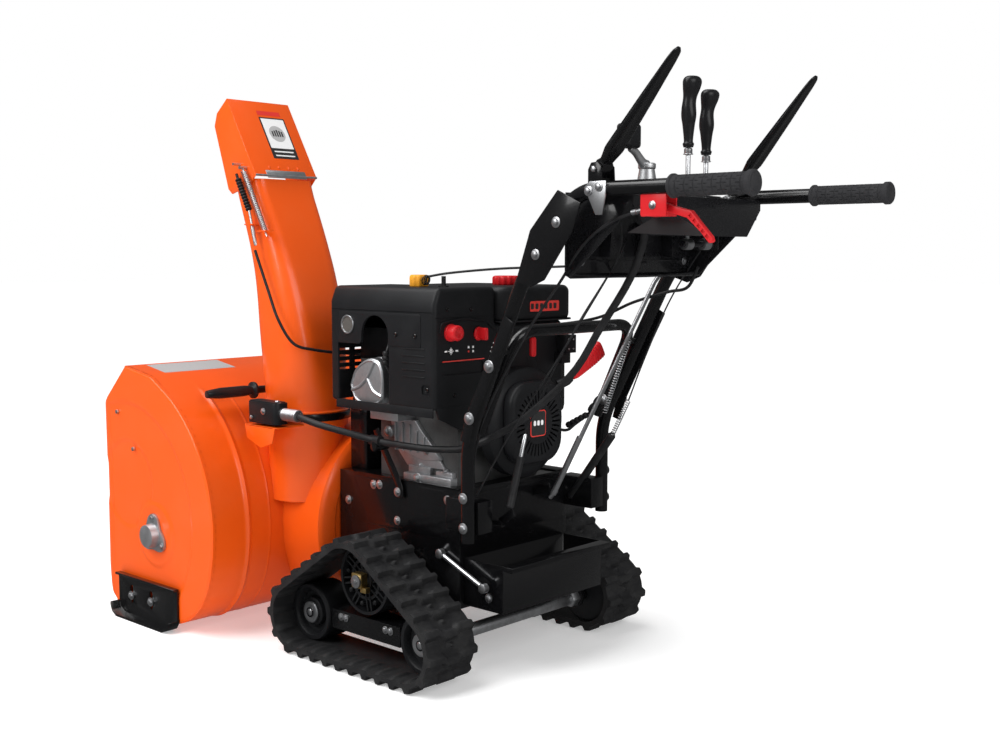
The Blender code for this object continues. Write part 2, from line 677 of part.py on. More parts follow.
def make_deflector():
    """A hood with a back wall and two cheeks, which stand outside the chute's sides."""
    long = DEFLECTOR_LENGTH
    places = [(0, 0), (long, 0), (long - 0.006, 0.046), (long - 0.024, 0.067)]
    places += [(0.026, 0.096), (0.010, 0.090), (-0.007, 0.028)]
    outline = [deflector_point(up, inward) for up, inward in places]
    inner = CHUTE_HALF_WIDTH + DEFLECTOR_SIDE_ROOM
    outer = inner + SHEET
    hood = prism(outline, "x", CHUTE_X - outer, CHUTE_X + outer)
    deflector = piece("deflector", hood, ORANGE, DEFLECTOR_PIVOT)
    corners = ((-0.08, SHEET), (0.25, SHEET), (0.25, 0.2), (-0.08, 0.2))
    hollow = [deflector_point(up, inward) for up, inward in corners]
    cut(deflector, prism(hollow, "x", CHUTE_X - inner, CHUTE_X + inner))


def make_deflector_spring():
    """The coil beside the chute that holds the deflector up."""
    top = Vector((0.2355, -0.401, 0.956))
    foot = Vector((0.2355, -0.323, 0.818))
    down = (foot - top).normalized()
    side = Vector((1, 0, 0))
    other = down.cross(side)
    path = [top]
    for i in range(73):
        turn = 2 * math.pi * i / 8
        centre = top.lerp(foot, 0.06 + 0.88 * i / 72)
        path.append(centre + (side * math.cos(turn) + other * math.sin(turn)) * 0.0055)
    piece("deflector_spring", tube(path + [foot], 0.0012, 4), BLACK_STEEL, CHUTE_PIVOT)


def make_deflector_cable():
    points = [(0.240, -0.357, 0.790), (0.240, -0.316, 0.710), (0.241, -0.282, 0.650)]
    points += [(0.224, -0.256, 0.603), (0.185, -0.240, 0.589), (0.125, -0.232, 0.580)]
    points += [(0.040, -0.222, 0.572), (-0.060, -0.205, 0.570), (-0.150, -0.165, 0.590)]
    points += [(-0.185, -0.090, 0.630), (-0.190, 0.060, 0.635), (-0.180, 0.200, 0.655)]
    points += [(-0.155, 0.310, 0.690), (-0.140, 0.400, 0.712), (-0.132, 0.450, 0.722), (-0.122, 0.480, 0.760)]
    cable("deflector_cable", points, 48, 0.003, RUBBER)


def make_chute_gear_housing():
    """The small gear case beside the chute's ring, on the shelf of the drum."""
    low_x = CHUTE_X + RING_RADIUS + 0.0015
    outline = rounded_box((low_x, CHUTE_Y - 0.028), (low_x + 0.035, CHUTE_Y + 0.067), 0.010)
    gear = piece("chute_gear_housing", prism(outline, "z", THROAT_TOP_Z, 0.485), BLACK_PLASTIC)
    add(gear, rod("y", (0.258, 0.463), 0.0105, CHUTE_Y + 0.060, -0.2055, 16))


def make_flex_shaft():
    points = [(0.258, -0.2030, 0.463), (0.250, -0.160, 0.452), (0.228, -0.110, 0.440), (0.190, -0.045, 0.423)]
    points += [(0.185, 0.035, 0.420), (0.172, 0.110, 0.420), (0.160, 0.175, 0.430), (0.130, 0.249, 0.470)]
    points += [(0.100, 0.297, 0.514), (0.070, 0.352, 0.578), (0.058, 0.395, 0.650), (0.062, 0.463, 0.739)]
    points += [(0.066, 0.495, 0.806), (0.066, 0.500, 0.862)]
    cable("flex_shaft", points, 40, 0.007, RUBBER)


def make_clean_out_tool():
    """A short shovel clipped across the housing: a grip, a flange and a blade's stub."""
    profile = [(0.149, 0.008), (0.200, 0.008), (0.203, 0.018), (0.208, 0.018), (0.211, 0.0095)]
    profile += [(0.230, TOOL_RADIUS), (0.290, TOOL_RADIUS), (0.310, 0.0095), (0.322, 0.0080)]
    tool = turned(profile, "x", (TOOL_Y, TOOL_Z), 16)
    piece("clean_out_tool", tool, BLACK_PLASTIC, (0.26, TOOL_Y, TOOL_Z))


# ---------------------------------------------------------------- frame and belt drive
def make_main_frame():
    """A folded box, open below, with a slot for the belt and ears for the handles."""
    low = (-FRAME_HALF_WIDTH, FRAME_FRONT_Y, FRAME_BOTTOM_Z)
    frame = piece("main_frame", box(low, (FRAME_HALF_WIDTH, FRAME_REAR_Y, DECK_Z)), BLACK_STEEL)
    for side in (-1, 1):
        ends = sorted((side * (FRAME_HALF_WIDTH - 0.010), side * (HANDLE_X - HANDLE_RADIUS - GAP)))
        add(frame, box((ends[0], FRAME_REAR_Y - 0.010, 0.275), (ends[1], HANDLE_FOOT_Y + 0.014, 0.335)))
    wall = 0.004
    inside_low = (low[0] + wall, low[1] + wall, low[2] - 0.01)
    cut(frame, box(inside_low, (-low[0] - wall, FRAME_REAR_Y - wall, DECK_Z - wall)))
    slot_x = ENGINE_PULLEY_RADIUS + 0.048
    slot_low = (-slot_x, FRAME_FRONT_Y + wall, DECK_Z - 0.02)
    cut(frame, box(slot_low, (slot_x, COVER_REAR_Y - 0.005, DECK_Z + 0.02)))
    hole = AXLE_RADIUS + 0.001
    cut(frame, rod("x", (0, AXLE_Z), hole, low[0] - 0.01, -low[0] + 0.01, 20))
    bore = IMPELLER_SHAFT_RADIUS + 5 * RUNNING
    cut(frame, rod("y", (0, IMPELLER_Z), bore, FRAME_FRONT_Y - 0.01, FRAME_FRONT_Y + 0.01, 16))


def make_belt_cover():
    """The cover in front of the engine, open below, with a hole for the crankshaft."""
    half = COVER_HALF_WIDTH
    top = CRANK_Z + 0.070
    outline = [(half, DECK_Z + GAP), (half, top - 0.07)] + arc((half - 0.07, top - 0.07), 0.07, 0, 90, 6)[1:]
    outline += [(-u, v) for u, v in reversed(outline)]
    cover = piece("belt_cover", prism(outline, "y", FRAME_FRONT_Y, COVER_REAR_Y), BLACK_STEEL)
    scale = (half - SHEET) / half
    inside = [(u * scale, DECK_Z - 0.01 if v < DECK_Z + 0.01 else v - SHEET) for u, v in outline]
    cut(cover, prism(inside, "y", FRAME_FRONT_Y + SHEET, COVER_REAR_Y - SHEET))
    cut(cover, rod("y", (0, CRANK_Z), 0.014, COVER_REAR_Y - 0.01, COVER_REAR_Y + 0.01, 20))


def make_engine_pulley():
    """The crankshaft's end with its pulley."""
    profile = pulley_profile(ENGINE_PULLEY_RADIUS, 0.012, 0.0, BLOCK_FRONT_Y + 0.018)
    profile = [(PULLEY_FRONT_Y, ENGINE_PULLEY_RADIUS)] + profile[1:]
    pulley = turned(profile, "y", (0, CRANK_Z), 24)
    piece("engine_pulley", pulley, ZINC, (0, PULLEY_FRONT_Y, CRANK_Z))


def make_auger_belt():
    """The belt in both pulleys' grooves."""
    small = ENGINE_PULLEY_RADIUS - PULLEY_GROOVE + BELT_PLAY
    large = IMPELLER_PULLEY_RADIUS - PULLEY_GROOVE + BELT_PLAY
    wheels = [((0, CRANK_Z), small), ((0, IMPELLER_Z), large)]
    front = PULLEY_FRONT_Y + PULLEY_FLANGE + BELT_SIDE_ROOM
    rear = PULLEY_FRONT_Y + PULLEY_WIDTH - PULLEY_FLANGE - BELT_SIDE_ROOM
    inner = hull_loop(wheels, 0.0, 18)
    outer = hull_loop(wheels, BELT_THICKNESS, 18)
    sections = []
    for line, y in ((outer, front), (outer, rear), (inner, rear), (inner, front)):
        sections.append([Vector((u, y, v)) for u, v in line])
    piece("auger_belt", loft(bmesh.new(), sections, ring=True), RUBBER)


def make_rear_tray():
    half = FRAME_HALF_WIDTH - 0.010
    low = (-half, FRAME_REAR_Y + GAP, 0.125)
    tray = piece("rear_tray", box(low, (half, 0.245, 0.215)), BLACK_STEEL)
    add(tray, box((-half, 0.240, 0.205), (half, 0.268, 0.215)))
    cut(tray, box((-half + SHEET, low[1] + SHEET, 0.128), (half - SHEET, 0.242, 0.230)))


# ---------------------------------------------------------------- tracks
TRACK_WHEELS = [
    ((IDLER_FRONT_Y, AXLE_Z - 0.094), IDLER_RADIUS),
    ((IDLER_REAR_Y, AXLE_Z - 0.094), IDLER_RADIUS),
    ((0.0, AXLE_Z), SPROCKET_RADIUS),
]
IDLER_Z = AXLE_Z - 0.094
IDLER_INNER_X = TRACK_INNER_X + 0.005
IDLER_OUTER_X = TRACK_OUTER_X - 0.050


def toothed_loop(wheels, band, lug, count):
    """The outer line of the belt with its lugs, walked evenly all the way round."""
    base = [Vector(point) for point in hull_loop(wheels, band, 16)]
    base.append(base[0])
    lengths = [0.0]
    for a, b in zip(base, base[1:]):
        lengths.append(lengths[-1] + (b - a).length)
    outline = []
    for k in range(count):
        for share, height in ((0.20, 0.0), (0.27, lug), (0.63, lug), (0.70, 0.0)):
            wanted = lengths[-1] * (k + share) / count
            j = max(i for i in range(len(lengths) - 1) if lengths[i] <= wanted)
            edge = base[j + 1] - base[j]
            point = base[j].lerp(base[j + 1], (wanted - lengths[j]) / max(edge.length, 1e-9))
            edge.normalize()
            outline.append((point.x + edge.y * height, point.y - edge.x * height))
    return outline


def make_track_belt(name, side):
    """The rubber belt with its lugs across the tread."""
    ends = sorted((side * TRACK_INNER_X, side * TRACK_OUTER_X))
    outline = toothed_loop(TRACK_WHEELS, TRACK_PLAY + TRACK_BAND, TRACK_LUG, TRACK_LUGS)
    belt = piece(name, prism(outline, "x", *ends), RUBBER, (side * 0.25, 0, AXLE_Z))
    inner = hull_loop(TRACK_WHEELS, TRACK_PLAY, 16)
    cut(belt, prism(inner, "x", ends[0] - 0.01, ends[1] + 0.01))


def make_drive_axle():
    axle = rod("x", (0, AXLE_Z), AXLE_RADIUS, -0.288, 0.288, 20)
    piece("drive_axle", axle, ZINC, (0, 0, AXLE_Z))


def wheel_profile(side, near, far, radius, hub, bore, rim):
    """A wheel with a dished outer face: a rim, a web and a hub."""
    step = 0.012 * (1 if far > near else -1)
    profile = [(near, bore), (near, radius), (far, radius), (far, radius - rim)]
    profile += [(far - step, radius - rim - 0.004)]
    profile += [(far - step, hub + 0.003), (far, hub), (far, bore)]
    return [(side * along, r) for along, r in profile]


def make_sprocket(name, side):
    near, far = IDLER_INNER_X, IDLER_OUTER_X
    profile = wheel_profile(side, near, far, SPROCKET_RADIUS, 0.024, AXLE_RADIUS + GAP, 0.008)
    wheel = turned(profile, "x", (0, AXLE_Z), 28, ring=True)
    piece(name, wheel, BLACK_PLASTIC, (side * IDLER_INNER_X, 0, AXLE_Z))


def make_idler(name, side, y):
    bore = IDLER_AXLE_RADIUS + RUNNING
    profile = wheel_profile(side, IDLER_INNER_X, IDLER_OUTER_X, IDLER_RADIUS, 0.020, bore, 0.008)
    wheel = turned(profile, "x", (y, IDLER_Z), 24, ring=True)
    piece(name, wheel, BLACK_PLASTIC, (side * IDLER_INNER_X, y, IDLER_Z))


def make_track_frame():
    """Both side frames that carry the idlers, joined by the tube behind, free to tilt round the axle."""
    near = IDLER_REAR_Y + IDLER_AXLE_RADIUS
    reach = TRACK_PLATE_X + 0.004
    tie = rod("x", (IDLER_REAR_Y, IDLER_Z), CROSS_TUBE_RADIUS, -reach, reach, 16)
    frame = piece("track_frame", tie, BLACK_STEEL, (0, 0, AXLE_Z))
    wheels = [((IDLER_FRONT_Y, IDLER_Z), 0.020), ((near - 0.010, IDLER_Z), 0.020), ((0.0, AXLE_Z), 0.026)]
    for side in (-1, 1):
        ends = sorted((side * TRACK_PLATE_X, side * (TRACK_PLATE_X + TRACK_PLATE)))
        add(frame, prism(hull_loop(wheels, 0.0, 8), "x", *ends))
        beam = sorted((side * (TRACK_PLATE_X + 0.004), side * (IDLER_OUTER_X - 0.004)))
        front = IDLER_FRONT_Y + IDLER_RADIUS + 0.004
        rear = IDLER_REAR_Y - IDLER_RADIUS - 0.004
        add(frame, box((beam[0], front, IDLER_Z - 0.019), (beam[1], rear, IDLER_Z + 0.019)))
        for y in (IDLER_FRONT_Y, IDLER_REAR_Y):
            pin = sorted((side * (TRACK_PLATE_X + 0.002), side * (IDLER_OUTER_X + 0.004)))
            add(frame, rod("x", (y, IDLER_Z), IDLER_AXLE_RADIUS, *pin, 16))
    reach = TRACK_PLATE_X + 0.02
    cut(frame, rod("x", (0, AXLE_Z), AXLE_RADIUS + RUNNING, -reach, reach, 20))


# ---------------------------------------------------------------- engine
VALVE_Y = -0.060
VALVE_Z = 0.5315
CHOKE_X = 0.180
CHOKE_Z = 0.640
KEY_X = 0.106
KEY_Z = 0.635
THROTTLE_X = -0.044
THROTTLE_Z = 0.590
FUEL_CAP = (-0.050, 0.075)
OIL_CAP = (0.160, 0.044)


def make_engine_block():
    """The crankcase on the deck and the cylinder that points to the left."""
    low = (-0.100, BLOCK_FRONT_Y, DECK_Z + GAP)
    block = piece("engine_block", box(low, (0.130, BLOCK_REAR_Y, SHROUD_BOTTOM_Z - GAP)), ALUMINIUM)
    add(block, box((0.100, VALVE_Y - 0.048, VALVE_Z - 0.048), (0.1745, VALVE_Y + 0.048, VALVE_Z + 0.048)))
    cut(block, rod("y", (0, CRANK_Z), 0.012 + RUNNING, BLOCK_FRONT_Y - 0.01, BLOCK_FRONT_Y + 0.019, 20))


def make_valve_cover():
    outline = rounded_box((VALVE_Y - 0.055, VALVE_Z - 0.053), (VALVE_Y + 0.055, VALVE_Z + 0.053), 0.022, 4)
    piece("valve_cover", prism(outline, "x", 0.1745 + GAP, 0.212), BLACK_STEEL)


def shroud_outline(inset):
    left, right, step = SHROUD_LEFT_X - inset, SHROUD_RIGHT_X + inset, SHROUD_STEP_X + inset
    bottom = SHROUD_BOTTOM_Z - (0.01 if inset else 0.0)
    top, low_top = SHROUD_TOP_Z - inset, SHROUD_STEP_Z - inset
    outline = [(left, bottom), (left, top - 0.030), (left - 0.012, top), (step, top), (step, low_top)]
    return outline + [(right + 0.006, low_top), (right, low_top - 0.010), (right, bottom)]


def make_engine_shroud():
    """The moulded cover over the engine: open below, with an arch over the valve cover."""
    half = SHROUD_HALF_DEPTH
    shroud = piece("engine_shroud", prism(shroud_outline(0.0), "y", -half, half), BLACK_PLASTIC)
    cut(shroud, prism(shroud_outline(SHELL), "y", -half + SHELL, half - SHELL))
    arch = [(VALVE_Y - 0.064, 0.49), (VALVE_Y + 0.064, 0.49)] + arc((VALVE_Y, 0.545), 0.064, 0, 180, 10)
    cut(shroud, prism(arch, "x", SHROUD_LEFT_X - 0.01, SHROUD_LEFT_X + 0.01))
    cut(shroud, rod("z", OIL_CAP, 0.0105, SHROUD_TOP_Z - 0.01, SHROUD_TOP_Z + 0.01, 16))
    holes = [(CHOKE_X, CHOKE_Z, 0.0053), (KEY_X, KEY_Z, 0.0043), (THROTTLE_X, THROTTLE_Z, 0.0043)]
    for x, z, radius in holes:
        cut(shroud, rod("y", (x, z), radius, half - 0.01, half + 0.01, 14))


def make_fuel_tank():
    """The tank on the shroud's low step, hollow, with its filler hole under the cap."""
    low, high = (-0.155, -0.120), (SHROUD_STEP_X - GAP * 5, 0.165)
    outline = rounded_box(low, high, 0.020)
    tank = piece("fuel_tank", prism(outline, "z", SHROUD_STEP_Z + GAP, SHROUD_TOP_Z), BLACK_PLASTIC)
    inside = rounded_box((low[0] + SHEET, low[1] + SHEET), (high[0] - SHEET, high[1] - SHEET), 0.017)
    cut(tank, prism(inside, "z", SHROUD_STEP_Z + SHEET, SHROUD_TOP_Z - SHEET))
    cut(tank, rod("z", FUEL_CAP, 0.0165, SHROUD_TOP_Z - 0.01, SHROUD_TOP_Z + 0.01, 20))


def make_cap(name, centre, plug, radius, height, depth, finish):
    seat = SHROUD_TOP_Z + GAP
    profile = [(seat - depth, plug), (seat, plug), (seat, radius), (seat + height - 0.003, radius)]
    profile += [(seat + height, radius - 0.003)]
    piece(name, turned(profile, "z", centre, 24), finish, (*centre, seat))


def make_choke_knob():
    half = SHROUD_HALF_DEPTH + GAP
    profile = [(half - 0.012, 0.0050), (half, 0.0050), (half, 0.0160)]
    profile += [(half + 0.022, 0.0140), (half + 0.024, 0.0120)]
    knob = turned(profile, "y", (CHOKE_X, CHOKE_Z), 20)
    piece("choke_knob", knob, RED_PLASTIC, (CHOKE_X, half, CHOKE_Z))


def make_ignition_key():
    half = SHROUD_HALF_DEPTH + GAP
    stem = rod("y", (KEY_X, KEY_Z), 0.0040, half - 0.012, half + 0.004, 14)
    key = piece("ignition_key", stem, RED_PLASTIC, (KEY_X, half, KEY_Z))
    add(key, box((KEY_X - 0.011, half + 0.002, KEY_Z - 0.004), (KEY_X + 0.011, half + 0.020, KEY_Z + 0.004)))


def make_throttle_lever():
    half = SHROUD_HALF_DEPTH + GAP
    stem = rod("y", (THROTTLE_X, THROTTLE_Z), 0.0040, half - 0.012, half + 0.006, 14)
    lever = piece("throttle_lever", stem, RED_PLASTIC, (THROTTLE_X, half, THROTTLE_Z))
    low = (THROTTLE_X - 0.006, half, THROTTLE_Z - 0.006)
    add(lever, box(low, (THROTTLE_X + 0.006, half + 0.008, THROTTLE_Z + 0.030)))


def make_fan_housing():
    """The fan's cowl and the domed recoil cover behind the engine."""
    rear = SHROUD_HALF_DEPTH + GAP
    profile = [(rear, FAN_RADIUS + 0.010), (rear + 0.026, FAN_RADIUS + 0.010), (rear + 0.034, FAN_RADIUS)]
    profile += [(rear + 0.038, 0.088), (rear + 0.054, 0.080), (rear + 0.062, 0.060), (rear + 0.064, 0.030)]
    cowl = turned(profile, "y", (0, CRANK_Z), 36)
    fan = piece("fan_housing", cowl, BLACK_PLASTIC)
    low = (-0.090, BLOCK_REAR_Y + GAP, CRANK_Z - 0.090)
    add(fan, box(low, (0.090, rear + 0.005, SHROUD_BOTTOM_Z - 0.002)))


RECOIL_START = Vector((-0.080, 0.222, 0.544))
RECOIL_END = Vector((-0.166, 0.222, 0.5956))


def make_recoil_handle():
    """The pull grip: thick at its outer end, with the rope's stub towards the recoil."""
    pull = (RECOIL_END - RECOIL_START).normalized()
    across = Vector((0, 1, 0))
    other = pull.cross(across)
    sections = []
    sizes = [(0.0, 0.006, 0.005), (0.12, 0.010, 0.007), (0.6, 0.011, 0.008), (1.0, 0.018, 0.008)]
    for share, wide, thick in sizes:
        centre = RECOIL_START.lerp(RECOIL_END, share)
        outline = rounded_box((-wide, -thick), (wide, thick), 0.0045)
        sections.append([centre + other * u + across * v for u, v in outline])
    piece("recoil_handle", loft(bmesh.new(), sections), RED_PLASTIC, RECOIL_START)


def make_muffler():
    right = SHROUD_RIGHT_X - 0.0015
    outline = rounded_box((-0.110, 0.450), (0.090, 0.600), 0.020)
    muffler = piece("muffler", prism(outline, "x", -0.215, right), BLACK_STEEL)
    add(muffler, box((right - 0.01, -0.030, 0.456), (-0.100 - GAP, 0.030, SHROUD_BOTTOM_Z - 0.004)))


# ---------------------------------------------------------------- handlebars and controls
def handle_path(side):
    rows = [(HANDLE_X, HANDLE_FOOT_Y, HANDLE_FOOT_Z), (HANDLE_X, HANDLE_FOOT_Y, 0.448)]
    rows += [(GRIP_X - 0.004, 0.356, 0.750), (GRIP_X, 0.472, GRIP_Z)]
    rows.append((GRIP_X, GRIP_END_Y - SHEET - GAP, GRIP_Z))
    return bent([(side * x, y, z) for x, y, z in rows], 0.045, 3)


def make_handle(name, side):
    """One bent tube, with the bracket of its clutch lever, and on the left the trigger's bracket."""
    handle = piece(name, tube(handle_path(side), HANDLE_RADIUS, 10, 0.002), BLACK_STEEL)
    y, z = CLUTCH_PIVOT_Y, CLUTCH_PIVOT_Z
    bracket = bmesh.new()
    near, far = CLUTCH_X - 0.018, CLUTCH_X + 0.018
    outline = [(near, GRIP_Z + 0.0115), (far, GRIP_Z + 0.0115), (far, z + 0.009), (far - SHEET, z + 0.009)]
    outline += [(far - SHEET, GRIP_Z + 0.016), (near + SHEET, GRIP_Z + 0.016), (near + SHEET, z + 0.009)]
    outline += [(near, z + 0.009)]
    prism([(side * u, v) for u, v in outline], "y", y - 0.009, y + 0.009, bracket)
    add(handle, bracket)
    add(handle, rod("x", (y, z), 0.004, *sorted((side * (near + 0.001), side * (far - 0.001))), 12))
    if side > 0:
        add(handle, box((GRIP_X - 0.008, 0.592, 0.846), (GRIP_X + 0.008, 0.640, GRIP_Z - 0.0110)))
        add(handle, rod("x", (TRIGGER_Y, TRIGGER_Z), 0.003, TRIGGER_X - 0.0055, GRIP_X, 10))


TRIGGER_X = 0.2005
TRIGGER_Y = 0.623
TRIGGER_Z = 0.857


def make_grip(name, side):
    bore = HANDLE_RADIUS + GAP
    stop = GRIP_END_Y - SHEET
    profile = [(stop, bore), (GRIP_START_Y, bore), (GRIP_START_Y, GRIP_RADIUS + 0.003)]
    profile += [(GRIP_START_Y + 0.006, GRIP_RADIUS + 0.003), (GRIP_START_Y + 0.007, GRIP_RADIUS)]
    profile += [(GRIP_END_Y - 0.003, GRIP_RADIUS), (GRIP_END_Y, GRIP_RADIUS - 0.003)]
    piece(name, turned(profile, "y", (side * GRIP_X, GRIP_Z), 20), RUBBER)


def make_cross_tube():
    """The hoop that ties both handles, with spacers at its bolts."""
    rows = [(-HOOP_X, 0.2200, 0.480), (-HOOP_X, 0.2998, 0.648)]
    rows += [(HOOP_X, 0.2998, 0.648), (HOOP_X, 0.2200, 0.480)]
    hoop = piece("cross_tube", tube(bent(rows, 0.045, 3), HOOP_RADIUS, 8, 0.002), BLACK_STEEL)
    for side in (-1, 1):
        for share in (0.15, 0.55):
            y = 0.2200 + 0.0798 * share
            z = 0.480 + 0.168 * share
            reach = handle_inner_x(z) - GAP
            ends = sorted((side * (HOOP_X + 0.006), side * reach))
            add(hoop, rod("x", (y, z), 0.005, *ends, 10))


def handle_inner_x(z):
    """Where the handle's inner side is, at a height on its slope."""
    share = (z - 0.448) / (0.750 - 0.448)
    return HANDLE_X + (GRIP_X - 0.004 - HANDLE_X) * share - HANDLE_RADIUS


def make_dash_panel():
    """The folded control panel with its two lever slots, the crank's hole and the levers' pin."""
    half = DASH_HALF_WIDTH
    path = [(0.565, 0.813), (0.565, 0.878), (0.450, 0.890), (0.425, 0.850), (0.425, 0.748)]
    path.append((0.437, 0.742))
    dash = piece("dash_panel", prism(strip(path, -DASH_SHEET), "x", -half, half), BLACK_PLASTIC)
    for side in (-1, 1):
        ends = sorted((side * (half - 0.002), side * (GRIP_X - HANDLE_RADIUS - GAP)))
        add(dash, box((ends[0], 0.500, 0.8745), (ends[1], 0.545, 0.8790)))
    plate = (DEFLECTOR_LEVER_X - 0.030, DEFLECTOR_LEVER_X - 0.027)
    add(dash, box((plate[0], 0.427, 0.790), (plate[1], 0.510, 0.884)))
    pin_end = SPEED_LEVER_X + 0.016
    add(dash, rod("x", (LEVER_PIVOT_Y, LEVER_PIVOT_Z), 0.005, plate[0] + 0.001, pin_end, 12))
    cut(dash, box((SPEED_LEVER_X - 0.006, 0.455, 0.860), (SPEED_LEVER_X + 0.006, 0.546, 0.900)))
    cut(dash, box((DEFLECTOR_LEVER_X - 0.006, 0.456, 0.860), (DEFLECTOR_LEVER_X + 0.006, 0.520, 0.900)))
    cut(dash, rod("z", (CRANK_X, LEVER_PIVOT_Y), 0.0075, 0.860, 0.900, 16))


def make_shift_lever(name, x, grip_low, grip_top, finish):
    """A lever on the pin under the panel, with its grip above."""
    pivot = (x, LEVER_PIVOT_Y, LEVER_PIVOT_Z)
    bore = 0.005 + RUNNING
    profile = [(x - 0.010, bore), (x + 0.010, bore), (x + 0.010, 0.010), (x - 0.010, 0.010)]
    hub = turned(profile, "x", (LEVER_PIVOT_Y, LEVER_PIVOT_Z), 16, ring=True)
    lever = piece(name, hub, finish, pivot)
    add(lever, rod("z", (x, LEVER_PIVOT_Y), LEVER_ROD_RADIUS, LEVER_PIVOT_Z + 0.0075, grip_low + 0.005, 12))
    grip = [(grip_low, 0.0075), (grip_low + 0.010, 0.0110), (grip_top - 0.050, 0.0125)]
    grip += [(grip_top - 0.018, 0.0160), (grip_top - 0.006, 0.0140), (grip_top, 0.0080)]
    add(lever, turned(grip, "z", (x, LEVER_PIVOT_Y), 16))


def make_chute_crank():
    """The crank on the panel: a base, an arm and a knob that is held upright."""
    seat = 0.8856 + 0.0015
    base = [(0.8640, 0.0070), (seat, 0.0070), (seat, 0.0180)]
    base += [(seat + 0.012, 0.0180), (seat + 0.022, 0.0090)]
    foot = turned(base, "z", (CRANK_X, LEVER_PIVOT_Y), 20)
    crank = piece("chute_crank", foot, BLACK_PLASTIC, (CRANK_X, LEVER_PIVOT_Y, seat))
    arm = [(CRANK_X, LEVER_PIVOT_Y, seat + 0.010), (CRANK_X + 0.051, LEVER_PIVOT_Y, 0.958)]
    add(crank, tube(arm, 0.0065, 10))
    knob = [(0.946, 0.0080), (0.954, 0.0150), (0.974, 0.0178), (0.992, 0.0150), (0.998, 0.0090)]
    add(crank, turned(knob, "z", (CRANK_X + 0.051, LEVER_PIVOT_Y), 16))


CLUTCH_BLADE = [(0.03, 0.0135, 0.006), (0.11, 0.0135, 0.006), (0.17, 0.0200, 0.006)]
CLUTCH_BLADE += [(0.90, 0.0140, 0.006), (1.00, 0.0100, 0.0045)]


def make_clutch_lever(name, side):
    """A lever above the grip: a hub between the bracket's cheeks and a tapering blade."""
    half = 0.018 - SHEET - GAP
    bore = 0.004 + RUNNING
    x = CLUTCH_X
    profile = [(x - half, bore), (x + half, bore), (x + half, 0.0090), (x - half, 0.0090)]
    profile = [(side * along, radius) for along, radius in profile]
    pivot = (side * x, CLUTCH_PIVOT_Y, CLUTCH_PIVOT_Z)
    hub = turned(profile, "x", (CLUTCH_PIVOT_Y, CLUTCH_PIVOT_Z), 16, ring=True)
    lever = piece(name, hub, BLACK_PLASTIC, pivot)
    along = Vector((0, math.cos(math.radians(CLUTCH_ANGLE)), math.sin(math.radians(CLUTCH_ANGLE))))
    across = Vector((0, -along.z, along.y))
    sections = []
    for share, wide, thick in CLUTCH_BLADE:
        centre = Vector(pivot) + along * CLUTCH_LENGTH * share
        outline = rounded_box((-wide, -thick), (wide, thick), 0.004, 2)
        sections.append([centre + Vector((u, 0, 0)) + across * v for u, v in outline])
    add(lever, loft(bmesh.new(), sections))


def make_tilt_trigger():
    """The red trigger under the left grip."""
    x, y, z = TRIGGER_X, TRIGGER_Y, TRIGGER_Z
    bore = 0.003 + RUNNING
    low, high = x - 0.0055, GRIP_X - 0.008 - GAP
    profile = [(low, bore), (high, bore), (high, 0.0080), (low, 0.0080)]
    trigger = piece("tilt_trigger", turned(profile, "x", (y, z), 16, ring=True), RED_PLASTIC, (x, y, z))
    outline = [(y + 0.004, z - 0.0065), (y + 0.032, z - 0.018), (y + 0.092, z - 0.058)]
    outline += [(y + 0.099, z - 0.056), (y + 0.097, z - 0.048), (y + 0.036, z - 0.007), (y + 0.006, z + 0.0045)]
    add(trigger, prism(outline, "x", low, high))


# ---------------------------------------------------------------- the whole machine
SIDES = (("left", 1), ("right", -1))
make_auger_housing()
make_impeller_drum()
make_scraper_bar()
make_auger_shaft()
make_auger_gearbox()
make_impeller()
make_impeller_shaft()
make_chute_ring()
make_chute()
make_deflector()
make_deflector_spring()
make_deflector_cable()
make_chute_gear_housing()
make_flex_shaft()
make_clean_out_tool()
make_main_frame()
make_belt_cover()
make_engine_pulley()
make_auger_belt()
make_rear_tray()
make_drive_axle()
make_track_frame()
make_engine_block()
make_valve_cover()
make_engine_shroud()
make_fuel_tank()
make_cap("fuel_cap", FUEL_CAP, 0.0155, 0.028, 0.018, 0.008, RED_PLASTIC)
make_cap("oil_cap", OIL_CAP, 0.0100, 0.018, 0.022, 0.010, YELLOW_PLASTIC)
make_choke_knob()
make_ignition_key()
make_throttle_lever()
make_fan_housing()
make_recoil_handle()
make_muffler()
make_cross_tube()
make_dash_panel()
make_shift_lever("speed_lever", SPEED_LEVER_X, 0.955, 1.090, BLACK_PLASTIC)
make_shift_lever("deflector_lever", DEFLECTOR_LEVER_X, 0.944, 1.071, BLACK_PLASTIC)
make_chute_crank()
make_tilt_trigger()
for word, side in SIDES:
    make_skid_shoe(f"skid_shoe_{word}", side)
    make_auger_bearing(f"auger_bearing_{word}", side)
    make_auger(f"auger_{word}", side)
    make_track_belt(f"track_belt_{word}", side)
    make_sprocket(f"sprocket_{word}", side)
    make_idler(f"idler_front_{word}", side, IDLER_FRONT_Y)
    make_idler(f"idler_rear_{word}", side, IDLER_REAR_Y)
    make_handle(f"handle_{word}", side)
    make_grip(f"grip_{word}", side)
    make_clutch_lever(f"clutch_lever_{word}", side)
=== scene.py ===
# %% [markdown]
# # A tracked snow blower, surface by surface
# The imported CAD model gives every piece's true size and place. This script keeps those pieces where they
# are, swaps many of them for finer surfaces, adds the small things that a hand would feel (bolts, ridges,
# springs, cables) and gives each surface a material worked out from nodes. All places below are in
# metres in the machine's own frame: y = 0 at the drive axle, z = 0 on the ground, +X the operator's left.

# %% Load the frame
import json
import math

